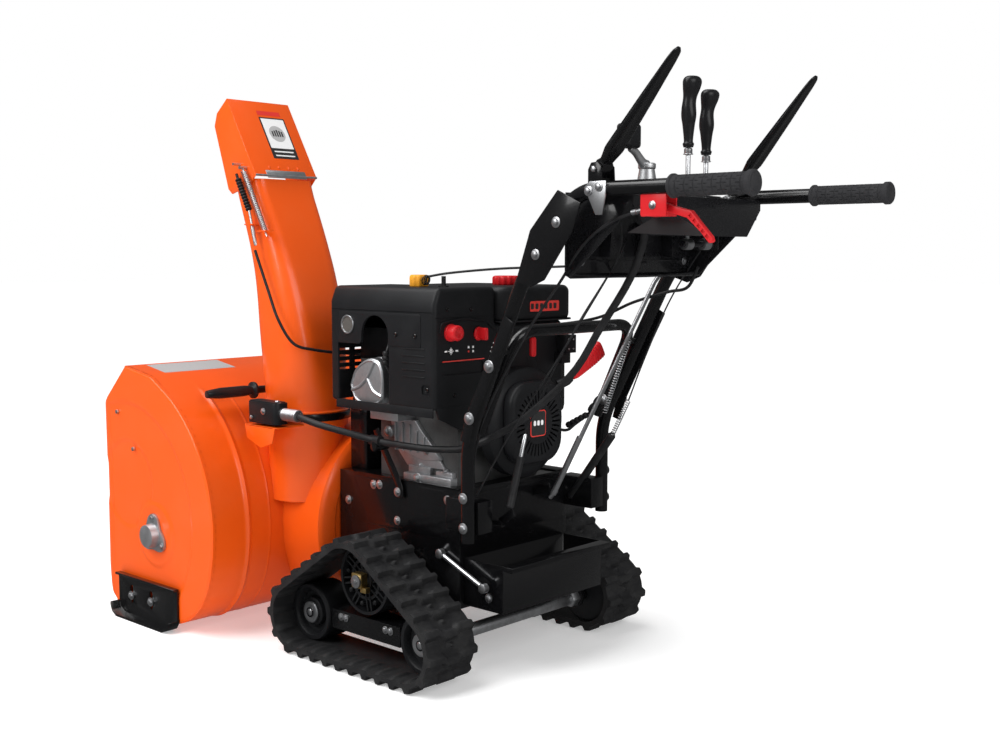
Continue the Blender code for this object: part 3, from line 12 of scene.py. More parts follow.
import bmesh
import bpy
import numpy as np
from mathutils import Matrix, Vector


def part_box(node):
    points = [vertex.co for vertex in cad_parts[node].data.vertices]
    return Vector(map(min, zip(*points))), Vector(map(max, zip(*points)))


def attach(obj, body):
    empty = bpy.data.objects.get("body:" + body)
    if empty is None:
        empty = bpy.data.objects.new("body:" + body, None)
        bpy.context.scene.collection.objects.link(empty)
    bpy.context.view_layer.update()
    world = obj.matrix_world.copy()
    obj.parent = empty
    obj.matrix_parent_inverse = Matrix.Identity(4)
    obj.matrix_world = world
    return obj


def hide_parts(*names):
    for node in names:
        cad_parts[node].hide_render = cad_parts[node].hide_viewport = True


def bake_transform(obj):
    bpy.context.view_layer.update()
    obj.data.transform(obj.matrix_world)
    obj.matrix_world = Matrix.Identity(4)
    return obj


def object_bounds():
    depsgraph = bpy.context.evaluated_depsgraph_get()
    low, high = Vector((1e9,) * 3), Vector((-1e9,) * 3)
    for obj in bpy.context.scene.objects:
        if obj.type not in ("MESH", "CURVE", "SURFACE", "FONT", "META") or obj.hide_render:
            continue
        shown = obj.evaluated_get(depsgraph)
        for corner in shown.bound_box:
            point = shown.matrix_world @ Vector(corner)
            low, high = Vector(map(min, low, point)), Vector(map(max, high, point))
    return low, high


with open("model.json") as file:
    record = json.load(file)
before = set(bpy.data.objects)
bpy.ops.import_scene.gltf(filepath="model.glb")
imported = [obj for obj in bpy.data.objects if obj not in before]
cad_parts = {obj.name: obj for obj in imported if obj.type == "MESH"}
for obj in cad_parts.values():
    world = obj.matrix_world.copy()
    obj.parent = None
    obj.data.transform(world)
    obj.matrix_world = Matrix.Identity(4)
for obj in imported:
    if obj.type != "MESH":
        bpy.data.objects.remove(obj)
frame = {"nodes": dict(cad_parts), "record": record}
CAD_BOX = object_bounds()
AXLE_Y = float(np.mean([corner[1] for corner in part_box("drive_axle")]))
print("pieces in the frame:", len(frame["nodes"]), "axle at y =", round(AXLE_Y, 4))

# %% [markdown]
# ## Shader maths in one small class
# A material's pattern is a chain of nodes. Writing `noise * 0.3 + 0.1` is easier to read than making three
# nodes and two links by hand, so this class wraps a socket and lets Python's operators add Math nodes.


# %% A socket with operators
class Wire:
    """One output socket (or a number) that grows Math nodes as expressions are written."""

    def __init__(self, shader, socket):
        self.shader = shader
        self.socket = socket

    def math(self, operation, other=None, swap=False):
        inputs = [other, self] if swap else [self, other]
        inputs = [value for value in inputs if value is not None]
        return self.shader.node("ShaderNodeMath", dict(operation=operation), dict(enumerate(inputs)))

    def __add__(self, other):
        return self.math("ADD", other)

    def __radd__(self, other):
        return self.math("ADD", other)

    def __sub__(self, other):
        return self.math("SUBTRACT", other)

    def __rsub__(self, other):
        return self.math("SUBTRACT", other, swap=True)

    def __mul__(self, other):
        return self.math("MULTIPLY", other)

    def __rmul__(self, other):
        return self.math("MULTIPLY", other)

    def __gt__(self, other):
        return self.math("GREATER_THAN", other)

    def __lt__(self, other):
        return self.math("LESS_THAN", other)


class Finish:
    """One material: a Principled BSDF, and a method that adds any other node."""

    def __init__(self, name, base, roughness, metallic=0.0, coat=0.0, coat_roughness=0.05):
        self.material = bpy.data.materials.new(name)
        self.material.use_nodes = True
        self.tree = self.material.node_tree
        self.shader = self.tree.nodes["Principled BSDF"]
        self.put("Base Color", (*base, 1.0))
        self.put("Roughness", roughness)
        self.put("Metallic", metallic)
        self.put("Coat Weight", coat)
        self.put("Coat Roughness", coat_roughness)

    def put(self, name, value):
        if isinstance(value, Wire):
            self.tree.links.new(value.socket, self.shader.inputs[name])
        else:
            self.shader.inputs[name].default_value = value

    def node(self, kind, settings=None, inputs=None, output=0):
        """Adds a node: its settings first, then values or links on its sockets."""
        made = self.tree.nodes.new(kind)
        for key, value in (settings or {}).items():
            if key == "stops":
                ramp = made.color_ramp
                ramp.elements[0].position, ramp.elements[0].color = value[0]
                ramp.elements[1].position, ramp.elements[1].color = value[-1]
                for place, colour in value[1:-1]:
                    ramp.elements.new(place).color = colour
            else:
                setattr(made, key, value)
        for key, value in (inputs or {}).items():
            if isinstance(value, Wire):
                self.tree.links.new(value.socket, made.inputs[key])
            else:
                made.inputs[key].default_value = value
        return Wire(self, made.outputs[output])

    def place(self):
        return self.node("ShaderNodeTexCoord", output=3)

    def noise(self, scale, detail=4.0, roughness=0.5, vector=None):
        """Cloudy noise on the object's own metres, from 0 to 1."""
        inputs = {"Vector": vector or self.place(), "Scale": scale, "Detail": detail, "Roughness": roughness}
        return self.node("ShaderNodeTexNoise", inputs=inputs)

    def mixed(self, share, first, second):
        """A colour between two, by a share from 0 to 1."""
        inputs = {0: share, 6: (*first, 1.0) if isinstance(first, tuple) else first}
        inputs[7] = (*second, 1.0) if isinstance(second, tuple) else second
        return self.node("ShaderNodeMix", dict(data_type="RGBA"), inputs, output=2)

    def clipped(self, value, low, high):
        """value spread so that low gives 0 and high gives 1, and held there outside."""
        return self.node("ShaderNodeMapRange", {}, {0: value, 1: low, 2: high})

    def bump(self, height, strength, distance=0.001):
        inputs = {"Height": height, "Strength": strength, "Distance": distance}
        self.put("Normal", self.node("ShaderNodeBump", inputs=inputs))


# %% [markdown]
# ## The finishes
# The housing is powder-coated sheet: a thick glossy orange with a slight orange-peel swell and a little
# dust. Black steel is the same coat in black. Moulded covers have a fine leather-like grain, the tracks
# are dusty rubber, and the small iron is zinc plated. Each gets its colour drift, its roughness drift and
# its relief from noise of the right size.


# %% Painted, moulded, plated and cast surfaces
def painted(name, colour, dust, roughness, coat):
    """Powder coat: colour with dust in cloudy patches, gloss that drifts, and an orange-peel swell."""
    finish = Finish(name, colour, roughness, 0.0, coat, 0.06)
    finish.put("Specular IOR Level", 0.35)
    cloud = finish.noise(9.0, 6.0, 0.6)
    speck = finish.noise(420.0, 2.0, 0.6)
    soiled = finish.clipped(cloud * 0.75 + speck * 0.25, 0.46, 0.8)
    finish.put("Base Color", finish.mixed(soiled * 0.2, colour, dust))
    finish.put("Roughness", roughness + cloud * 0.08 + soiled * 0.1)
    finish.bump(finish.noise(260.0, 1.0), 0.05, 0.0006)
    return finish.material


def moulded(name, colour, worn, roughness, grain_scale, strength):
    """Moulded plastic: a grain of small cells, paler where hands and snow polish it."""
    finish = Finish(name, colour, roughness)
    finish.put("Specular IOR Level", 0.24)
    cloud = finish.noise(14.0, 5.0, 0.6)
    grain = finish.node("ShaderNodeTexVoronoi", {}, {"Vector": finish.place(), "Scale": grain_scale})
    finish.put("Base Color", finish.mixed(finish.clipped(cloud, 0.45, 0.85) * 0.5, colour, worn))
    finish.put("Roughness", roughness + cloud * 0.16 - grain * 0.08)
    finish.bump(grain, strength, 0.0004)
    return finish.material


def plated(name, colour, dull, roughness, streak=900.0):
    """Zinc or chrome: bright metal with fine turning marks and dull patches."""
    finish = Finish(name, colour, roughness, 1.0)
    cloud = finish.noise(60.0, 5.0, 0.65)
    marks = finish.noise(streak, 2.0, 0.5)
    finish.put("Base Color", finish.mixed(finish.clipped(cloud, 0.4, 0.75), colour, dull))
    finish.put("Roughness", roughness + cloud * 0.18 + marks * 0.08)
    finish.bump(marks, 0.08, 0.0003)
    return finish.material


def cast(name, colour, dull, roughness):
    """Sand-cast or die-cast metal: a pebbled skin, darker in its hollows."""
    finish = Finish(name, colour, roughness, 0.85)
    pebble = finish.noise(700.0, 3.0, 0.7)
    cloud = finish.noise(22.0, 5.0, 0.6)
    finish.put("Base Color", finish.mixed(finish.clipped(cloud * 0.6 + pebble * 0.4, 0.35, 0.7), dull, colour))
    finish.put("Roughness", roughness + cloud * 0.2)
    finish.bump(pebble, 0.35, 0.0006)
    return finish.material


def rubbery(name, colour, dust, roughness, strength):
    """Rubber: matt, with pale dust in patches and a pebbled skin."""
    finish = Finish(name, colour, roughness)
    finish.put("Specular IOR Level", 0.25)
    cloud = finish.noise(30.0, 6.0, 0.65)
    pebble = finish.noise(1100.0, 2.0, 0.6)
    finish.put("Base Color", finish.mixed(finish.clipped(cloud, 0.42, 0.8) * 0.55, colour, dust))
    finish.put("Roughness", roughness + cloud * 0.12)
    finish.bump(pebble * 0.6 + cloud * 0.4, strength, 0.0006)
    return finish.material


ORANGE = painted("orange_powder_coat", (0.8, 0.092, 0.005), (0.72, 0.14, 0.03), 0.26, 0.2)
BLACK_PAINT = painted("black_powder_coat", (0.0035, 0.0035, 0.004), (0.01, 0.01, 0.01), 0.17, 0.25)
BLACK_PLASTIC = moulded("black_moulded_cover", (0.0085, 0.0088, 0.01), (0.017, 0.0175, 0.019), 0.42, 900.0, 0.12)
KNOB_BLACK = moulded("black_smooth_plastic", (0.01, 0.01, 0.011), (0.025, 0.025, 0.026), 0.26, 1400.0, 0.05)
RED_PLASTIC = moulded("red_plastic", (0.52, 0.01, 0.014), (0.6, 0.04, 0.045), 0.3, 1400.0, 0.05)
YELLOW_PLASTIC = moulded("yellow_plastic", (0.78, 0.33, 0.02), (0.85, 0.42, 0.08), 0.38, 1200.0, 0.08)
RUBBER = rubbery("track_rubber", (0.012, 0.012, 0.013), (0.034, 0.034, 0.033), 0.55, 0.5)
FOAM = rubbery("grip_foam", (0.02, 0.02, 0.022), (0.04, 0.04, 0.042), 0.82, 0.8)
CABLE = rubbery("cable_sheath", (0.012, 0.012, 0.013), (0.03, 0.03, 0.031), 0.4, 0.15)
ZINC = plated("zinc_plate", (0.7, 0.71, 0.73), (0.48, 0.48, 0.49), 0.24)
BRASS_ZINC = plated("gold_zinc_plate", (0.74, 0.52, 0.2), (0.55, 0.38, 0.15), 0.28)
CAST_ALUMINIUM = cast("cast_aluminium", (0.62, 0.63, 0.65), (0.34, 0.34, 0.35), 0.34)
CAST_IRON = cast("cast_iron", (0.2, 0.2, 0.2), (0.1, 0.1, 0.1), 0.5)
print("finishes made")

# %% [markdown]
# ## Keeping a CAD piece, with its edges softened
# No real edge is perfectly sharp: a pressed or moulded corner has a small radius that catches the light.
# A CAD node's mesh is loose triangles, so a copy is merged first, and a Bevel by angle rounds its edges.


# %% Dress a CAD piece
NODE_BODY = {node: body for body, nodes in frame["record"]["behaviour"]["bodies"].items() for node in nodes}


def soften(obj, width, segments):
    """Rounds every edge whose faces turn by more than 35 degrees."""
    bevel = obj.modifiers.new("Bevel", "BEVEL")
    bevel.width = width
    bevel.segments = segments
    bevel.limit_method = "ANGLE"
    bevel.angle_limit = math.radians(35)


def dress(node, material, width=0.0012, segments=2):
    """A copy of the node with merged corners, a bevel of that width and smooth shading."""
    source = frame["nodes"][node]
    mesh = source.data.copy()
    copy = bpy.data.objects.new(f"dressed_{node}", mesh)
    bpy.context.scene.collection.objects.link(copy)
    mesh.materials.clear()
    mesh.materials.append(material)
    weld = copy.modifiers.new("Weld", "WELD")
    weld.merge_threshold = 0.00002
    soften(copy, width, segments)
    settle(copy)
    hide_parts(node)
    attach(copy, NODE_BODY[node])
    return copy


def settle(obj, angle=30):
    """Applies every modifier, shades smooth and keeps edges sharper than the angle."""
    graph = bpy.context.evaluated_depsgraph_get()
    mesh = bpy.data.meshes.new_from_object(obj.evaluated_get(graph))
    obj.modifiers.clear()
    obj.data = mesh
    mesh.shade_smooth()
    mesh.set_sharp_from_angle(angle=math.radians(angle))


# %% Which finish each kept piece wears
DRESSED = {
    ORANGE: "auger_left auger_right impeller deflector",
    BLACK_PAINT: "skid_shoe_left skid_shoe_right scraper_bar chute_ring main_frame belt_cover rear_tray muffler "
    "track_frame",
    BLACK_PLASTIC: "chute_gear_housing",
    KNOB_BLACK: "clean_out_tool",
    RUBBER: "auger_belt",
    CABLE: "flex_shaft",
    ZINC: "auger_shaft impeller_shaft engine_pulley drive_axle",
    CAST_ALUMINIUM: "auger_bearing_left auger_bearing_right",
    CAST_IRON: "auger_gearbox",
}
REBUILT = set()

# %% [markdown]
# ## Surfaces worked out as arrays
# Every new piece is a grid of points: rows go along the piece and columns go round it. One helper makes the
# faces of any grid, one carries a ring along a path, one turns a profile round an axis and one gives an
# outline a thickness. They work on whole arrays, so a shape is a formula and not a loop over vertices.


# %% Grids, tubes, turned shapes and slabs
def spot(x, y, z):
    """A point (or arrays of them) of the machine's frame, in the row's frame."""
    return np.stack(np.broadcast_arrays(x, np.asarray(y, float) + AXLE_Y, z), axis=-1).astype(float)


def spots(rows):
    """The same for a list of (x, y, z) rows."""
    return spot(*np.array(rows).T)


def skin(points, closed_rows=False):
    """Faces between neighbouring rows and columns; columns close on themselves, ends get caps."""
    rows, columns = points.shape[:2]
    i = np.arange(rows if closed_rows else rows - 1)[:, None]
    j = np.arange(columns)[None, :]
    ahead, beside = (i + 1) % rows, (j + 1) % columns
    quads = [i * columns + j, i * columns + beside, ahead * columns + beside, ahead * columns + j]
    faces = np.stack(np.broadcast_arrays(*quads), axis=-1).reshape(-1, 4).tolist()
    if not closed_rows:
        faces.append(list(range(columns))[::-1])
        faces.append(list(range((rows - 1) * columns, rows * columns)))
    return points.reshape(-1, 3), faces


def unit(vectors):
    return vectors / np.maximum(np.linalg.norm(vectors, axis=-1, keepdims=True), 1e-12)


def tube(path, radius, sides=16, flat=1.0):
    """A ring carried along a path: each ring stands across the path's direction there."""
    path = np.asarray(path, float)
    ahead = unit(np.gradient(path, axis=0))
    spread = np.abs(ahead).mean(axis=0)
    helper = np.eye(3)[int(np.argmin(spread))]
    side = unit(np.cross(ahead, helper))
    other = np.cross(ahead, side)
    turn = np.linspace(0, 2 * np.pi, sides, endpoint=False)[None, :, None]
    radius = np.broadcast_to(np.asarray(radius, float), len(path))[:, None, None]
    ring = side[:, None] * np.cos(turn) + other[:, None] * np.sin(turn) * flat
    return skin(path[:, None] + ring * radius)


def evenly(line, count, endpoint=True):
    """count places walked evenly along a line of points."""
    walked = np.concatenate([[0], np.cumsum(np.linalg.norm(np.diff(line, axis=0), axis=1))])
    wanted = np.linspace(0, walked[-1], count, endpoint=endpoint)
    return np.stack([np.interp(wanted, walked, column) for column in line.T], axis=1)


def through(points, count=48):
    """count points read evenly from a smooth curve through the given ones (Catmull-Rom)."""
    points = np.asarray(points, float)
    padded = np.vstack([2 * points[0] - points[1], points, 2 * points[-1] - points[-2]])
    t = np.linspace(0, 1, 24, endpoint=False)[None, :, None]
    a, b, c, d = (padded[k : len(padded) - 3 + k, None] for k in range(4))
    curve = (2 * b + (c - a) * t + (2 * a - 5 * b + 4 * c - d) * t**2 + (3 * b - a - 3 * c + d) * t**3) / 2
    return evenly(np.vstack([curve.reshape(-1, points.shape[1]), points[-1:]]), count)


def rounded_path(points, radius, steps=8):
    """A path of straight runs whose corners are quadratic curves that start radius before each corner."""
    points = [np.asarray(p, float) for p in points]
    path = [points[0][None]]
    t = np.linspace(0, 1, steps + 1)[:, None]
    for before, corner, after in zip(points, points[1:], points[2:]):
        start = corner + unit(before - corner) * radius
        end = corner + unit(after - corner) * radius
        path.append(start * (1 - t) ** 2 + corner * 2 * t * (1 - t) + end * t**2)
    path.append(points[-1][None])
    return np.vstack(path)


def facing(axis, first, second, along):
    """Points with first and second in the plane across an axis and along on it, in the machine's frame."""
    order = {"x": (along, first, second), "y": (first, along, second), "z": (first, second, along)}[axis]
    return spot(*order)


def lathe(profile, axis, centre, sides=32, closed=False):
    """A profile of (along the axis, radius) turned round the axis through centre."""
    profile = np.asarray(profile, float)
    turn = np.linspace(0, 2 * np.pi, sides, endpoint=False)[None, :]
    first = centre[0] + profile[:, 1:] * np.cos(turn)
    second = centre[1] + profile[:, 1:] * np.sin(turn)
    return skin(facing(axis, first, second, profile[:, :1]), closed)


def slab(outline, axis, low, high):
    """An outline in the plane across an axis, given its thickness from low to high."""
    outline = np.asarray(outline, float)[None]
    return skin(facing(axis, outline[..., 0], outline[..., 1], np.array([[low], [high]])))


def brick(low, high):
    outline = [(low[0], low[1]), (high[0], low[1]), (high[0], high[1]), (low[0], high[1])]
    return slab(outline, "z", low[2], high[2])


def oblong(low, high, radius, steps=5):
    """A rectangle's outline with round corners."""
    turn = np.radians(np.arange(0, 360, 90)[:, None] + np.linspace(0, 90, steps + 1)[None])
    corners = np.array([(high[0], high[1]), (low[0], high[1]), (low[0], low[1]), (high[0], low[1])])
    inward = np.array([(-1, -1), (1, -1), (1, 1), (-1, 1)]) * radius
    ring = np.stack([np.cos(turn), np.sin(turn)], axis=-1) * radius
    return ((corners + inward)[:, None] + ring).reshape(-1, 2)


def bolt(centre, axis, along, way=1, size=0.006, washer=True):
    """A hexagon head with a domed top on a washer: way is the side of the surface that it stands on."""
    head = [(0.0, size), (size * 0.62, size), (size * 0.8, size * 0.82)]
    shapes = [lathe([(along + way * a, r) for a, r in head], axis, centre, 6)]
    dome = [(0.0, size * 0.8), (size * 0.84, size * 0.8), (size * 0.95, size * 0.45)]
    shapes.append(lathe([(along + way * a, r) for a, r in dome], axis, centre, 16))
    if washer:
        ring = [(-0.0003, size * 1.55), (size * 0.2, size * 1.55), (size * 0.25, size * 1.45)]
        shapes.append(lathe([(along + way * a, r) for a, r in ring], axis, centre, 24))
    return shapes


def build(name, shapes, material, body, *nodes, bevel=0.0, segments=2, angle=30):
    """One piece of several closed shapes, faces outwards and edges softened, riding on a body if one is given."""
    starts = np.cumsum([0] + [len(points) for points, _ in shapes])
    faces = [[start + v for v in face] for start, shape in zip(starts, shapes) for face in shape[1]]
    mesh = bpy.data.meshes.new(name)
    mesh.from_pydata(np.vstack([points for points, _ in shapes]), [], faces)
    tidy = bmesh.new()
    tidy.from_mesh(mesh)
    bmesh.ops.recalc_face_normals(tidy, faces=tidy.faces[:])
    tidy.to_mesh(mesh)
    tidy.free()
    mesh.materials.append(material)
    obj = bpy.data.objects.new(name, mesh)
    bpy.context.scene.collection.objects.link(obj)
    if bevel:
        soften(obj, bevel, segments)
    settle(obj, angle)
    if body:
        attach(obj, body)
    if nodes:
        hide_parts(*nodes)
        REBUILT.update(nodes)
    return obj


# %% [markdown]
# ## The rubber tracks
# Each track is an endless rubber belt round one sprocket and two idlers, with cross lugs that step back in
# the middle, small blocks between them, and low ribs inside. One grid makes it: rows walk round the three
# wheels, columns go round the belt's section, and the height at each point follows from the phase of the lug.

# %% The line round the wheels
FRONT_WHEEL, REAR_WHEEL, TOP_WHEEL = (-0.16, 0.077), (0.155, 0.077), (0.0, 0.171)
IDLER_R, SPROCKET_R = 0.0565, 0.0675
BELT_IN, BELT_OUT = 0.196, 0.316
LUGS = 28


def loop_line(count, offset):
    """count places walked evenly round the wheels, as (points, outward normals) in the y, z plane."""
    wheels = [(FRONT_WHEEL, IDLER_R), (REAR_WHEEL, IDLER_R), (TOP_WHEEL, SPROCKET_R)]
    starts = []
    for (a, first), (b, second) in zip(wheels, wheels[1:] + wheels[:1]):
        span = math.hypot(b[0] - a[0], b[1] - a[1])
        starts.append(math.atan2(b[1] - a[1], b[0] - a[0]) - math.acos((first - second) / span))
    angles, centres, radii = [], [], []
    for k, (centre, radius) in enumerate(wheels):
        begin, end = starts[k - 1], starts[k]
        end += 2 * math.pi * (end < begin)
        angles.append(np.linspace(begin, end, 60))
        centres.append(np.tile(centre, (60, 1)))
        radii.append(np.full(60, radius + offset))
    angle, centre, radius = np.concatenate(angles), np.vstack(centres), np.concatenate(radii)
    normal = np.stack([np.cos(angle), np.sin(angle)], axis=1)
    line = centre + normal * radius[:, None]
    line, normal = np.vstack([line, line[:1]]), np.vstack([normal, normal[:1]])
    walked = np.concatenate([[0], np.cumsum(np.linalg.norm(np.diff(line, axis=0), axis=1))])
    wanted = np.linspace(0, walked[-1], count, endpoint=False)
    read = [np.interp(wanted, walked, column) for column in (*line.T, *normal.T)]
    return np.stack(read[:2], axis=1), unit(np.stack(read[2:], axis=1))


def hump(phase, low, high, edge=0.05):
    """1 between low and high, with straight flanks edge wide, 0 elsewhere."""
    rise = np.clip((phase - low) / edge + 0.5, 0, 1)
    fall = np.clip((high - phase) / edge + 0.5, 0, 1)
    return rise * fall


def make_track(word, side):
    """Rows follow the line, and the outer columns stand off it by the lug's height at their phase."""
    per_lug = 18
    rows = LUGS * per_lug
    line, normal = loop_line(rows, 0.0006)
    phase = (np.arange(rows) % per_lug)[:, None] / per_lug
    across = np.linspace(0, 1, 31)[None, :]
    middle = hump(across, 0.34, 0.66, 0.04)
    rim = 1 - hump(across, 0.012, 0.988, 0.02)
    bar = hump(phase + 0.16 * middle, 0.34, 0.68, 0.1)
    block = hump(phase, 0.86, 1.02, 0.06) + hump(phase, -0.14, 0.02, 0.06)
    block = block * hump(across, 0.46, 0.54, 0.03)
    shelf = hump(phase, 0.08, 0.92, 0.12) * (hump(across, 0.1, 0.3, 0.03) + hump(across, 0.7, 0.9, 0.03))
    outer = 0.0098 + 0.0098 * np.maximum(bar, block * 0.55) + 0.0016 * shelf * (1 - bar)
    outer = outer - 0.0012 * rim * bar
    inside = np.linspace(1, 0, 13)[None, :]
    rib = hump(phase, 0.3, 0.62, 0.1) * hump(inside, 0.62, 0.97, 0.03) * 0.0042
    height = np.hstack([outer, -rib])
    x = BELT_IN + (BELT_OUT - BELT_IN) * np.hstack([across, inside])
    y = line[:, :1] + normal[:, :1] * height
    z = line[:, 1:] + normal[:, 1:] * height
    z = np.maximum(z, CAD_BOX[0][2] + 0.0002)
    belt = skin(spot(side * np.broadcast_to(x, y.shape), y, z), closed_rows=True)
    build(f"track_{word}", [belt], RUBBER, "track_body", f"track_belt_{word}", angle=50)


def make_sprocket(word, side):
    """A spoked driving wheel: rim, inner ring, hub, double spokes and the bosses of its bolts."""
    near, far = BELT_IN + 0.005, BELT_OUT - 0.05
    centre = TOP_WHEEL
    rings = [((near, SPROCKET_R), (far, SPROCKET_R), (far, SPROCKET_R - 0.006), (near, SPROCKET_R - 0.006))]
    rings.append(((near, 0.04), (far - 0.004, 0.04), (far - 0.004, 0.034), (near, 0.034)))
    rings.append(((near, 0.021), (far, 0.021), (far, 0.0129), (near, 0.0129)))
    rings.append(((near, SPROCKET_R - 0.003), (near + 0.004, SPROCKET_R - 0.003), (near + 0.004, 0.0129),
        (near, 0.0129)))
    shapes = [lathe([(side * a, r) for a, r in ring], "x", centre, 56, closed=True) for ring in rings]
    for k in range(8):
        turn = 2 * np.pi * k / 8 + 0.2
        way = np.array([np.cos(turn), np.sin(turn)])
        across = np.array([-way[1], way[0]])
        for shift in (-0.0052, 0.0052):
            ends = [way * 0.018, way * (SPROCKET_R - 0.004)]
            line = [np.array(centre) + end + across * (shift + half) for end,
                half in zip(ends + ends[::-1], (-0.0018, -0.0018, 0.0018, 0.0018))]
            shapes.append(slab(line, "x", side * (near + 0.002), side * (far - 0.003)))
        boss = np.array(centre) + np.array([np.cos(turn + 0.39), np.sin(turn + 0.39)]) * 0.0485
        shapes.append(lathe([(side * near, 0.0052), (side * (far - 0.002), 0.0048), (side * far, 0.003)], "x", boss,
            14))
    build(f"spoked_sprocket_{word}", shapes, BLACK_PLASTIC, "axle_body", f"sprocket_{word}")


def make_idler(word, side, spot_name, centre):
    """A dished wheel with a rim and a broad plated cap on its axle."""
    near, far = BELT_IN + 0.005, BELT_OUT - 0.05
    body = f"idler_{spot_name}_{word}_body"
    wheel = [(near, 0.0105), (near, 0.05), (near + 0.003, IDLER_R), (far - 0.003, IDLER_R), (far, 0.0545)]
    wheel += [(far, 0.047), (far - 0.003, 0.0445), (far - 0.014, 0.042), (far - 0.015, 0.03)]
    wheel += [(far - 0.006, 0.028), (far - 0.004, 0.0245), (far - 0.004, 0.0105)]
    shape = lathe([(side * a, r) for a, r in wheel], "x", centre, 64, closed=True)
    build(f"idler_wheel_{spot_name}_{word}", [shape], BLACK_PLASTIC, body, f"idler_{spot_name}_{word}")
    cap = [(far - 0.0035, 0.0205), (far + 0.0005, 0.0218), (far + 0.0022, 0.0205), (far + 0.0028, 0.015)]
    cap += [(far + 0.0018, 0.012), (far + 0.0022, 0.009), (far + 0.0036, 0.008), (far + 0.0052, 0.005)]
    shapes = [lathe([(side * a, r) for a, r in cap], "x", centre, 40)]
    build(f"idler_cap_{spot_name}_{word}", shapes, ZINC, body)


SIDES = (("left", 1), ("right", -1))
for word, side in SIDES:
    make_track(word, side)
    make_sprocket(word, side)
    make_idler(word, side, "front", FRONT_WHEEL)
    make_idler(word, side, "rear", REAR_WHEEL)
print("lugs on each track:", LUGS)

# %% [markdown]
# ## The track frame's ironwork
# A plated tie tube joins both sides behind, the axle's ends carry a gold-zinc clamp with its bolt, and the
# beam between the idlers is bolted in pairs. These are turned shapes and small slabs with hexagon heads.

# %% Tie tube, axle clamps and beam bolts
tie = [lathe([(-0.166, 0.0128), (0.166, 0.0128)], "x", REAR_WHEEL, 32)]
for side in (-1, 1):
    tie += [lathe([(side * a, r) for a, r in ((0.15, 0.0175), (0.171, 0.0175))], "x", REAR_WHEEL, 6)]
build("tie_tube", tie, ZINC, "track_body", bevel=0.0008)
clamps, clamp_bolts, beam_bolts = [], [], []
for side in (-1, 1):
    block = oblong((-0.015, 0.158), (0.013, 0.186), 0.003)
    clamps.append(slab(block, "x", side * 0.268, side * 0.284))
    clamps.append(slab(oblong((0.006, 0.15), (0.022, 0.16), 0.002), "x", side * 0.269, side * 0.281))
    clamp_bolts += bolt((0.0, 0.171), "x", side * 0.286, side, 0.005)
    for y in (-0.072, -0.058, 0.055, 0.069):
        beam_bolts += bolt((y, 0.084), "x", side * 0.2625, side, 0.0048)
build("axle_clamps", clamps, BRASS_ZINC, "axle_body", bevel=0.001)
build("axle_clamp_bolts", clamp_bolts, ZINC, "axle_body")
build("beam_bolts", beam_bolts, ZINC, "track_body")

# %% [markdown]
# ## The auger housing
# The housing is one wide sheet wrapped round the augers, welded to two pressed cheeks. The wrap is a profile
# (top lip, barrel, heel, floor) carried across the width, with beads that stiffen it. Each cheek is a grid of
# rings that grow from its middle to its outline, pushed in where the press left a shallow panel.

# %% The wrap's profile and a Boolean helper
WIDE, SHEET, CHEEK_FACE = 0.38, 0.003, 0.3853
AUGER_AXIS, DRUM_AXIS, CHUTE_AXIS = (-0.536, 0.193), (0.0, 0.225), (0.145, -0.317)
BARREL, BARREL_R = (-0.6416, 0.225), 0.3156
HEEL_R = 0.16
HEEL = (-0.6416 + 0.1556 * math.cos(math.radians(20)), 0.225 - 0.1556 * math.sin(math.radians(20)))


def arc(centre, radius, start, end, steps=24):
    turn = np.radians(np.linspace(start, end, steps + 1))
    return np.stack([centre[0] + radius * np.cos(turn), centre[1] + radius * np.sin(turn)], axis=1)


def wrap_line(inset=0.0):
    """From the top lip over the crease, round the barrel and the heel to the floor's front edge."""
    top = np.array([(-0.64, 0.545 - inset), (-0.59, 0.5367 - inset), (-0.538, 0.528 - inset)])
    barrel = arc(BARREL, BARREL_R - inset, 62.5, -20, 48)
    heel = arc(HEEL, HEEL_R - inset, -20, -90, 20)
    return np.vstack([top, barrel, heel[1:], [(-0.69, heel[-1][1])]])


def plate(outline, axis, middle, half):
    """A thin slab to both sides of its middle."""
    return slab(outline, axis, middle - half, middle + half)


def carve(obj, shapes, operation="DIFFERENCE"):
    """Cuts closed shapes out of a piece, or joins them to it, with an exact Boolean."""
    tool = build("carving_tool", shapes, obj.data.materials[0], "chassis")
    modifier = obj.modifiers.new("Carve", "BOOLEAN")
    modifier.solver = "EXACT"
    modifier.operation = operation
    modifier.object = tool
    settle(obj)
    bpy.data.objects.remove(tool)


def step(value, start, end):
    """0 before start, 1 after end, with a smooth S between; start may be the larger."""
    t = np.clip((value - start) / (end - start), 0, 1)
    return t * t * (3 - 2 * t)


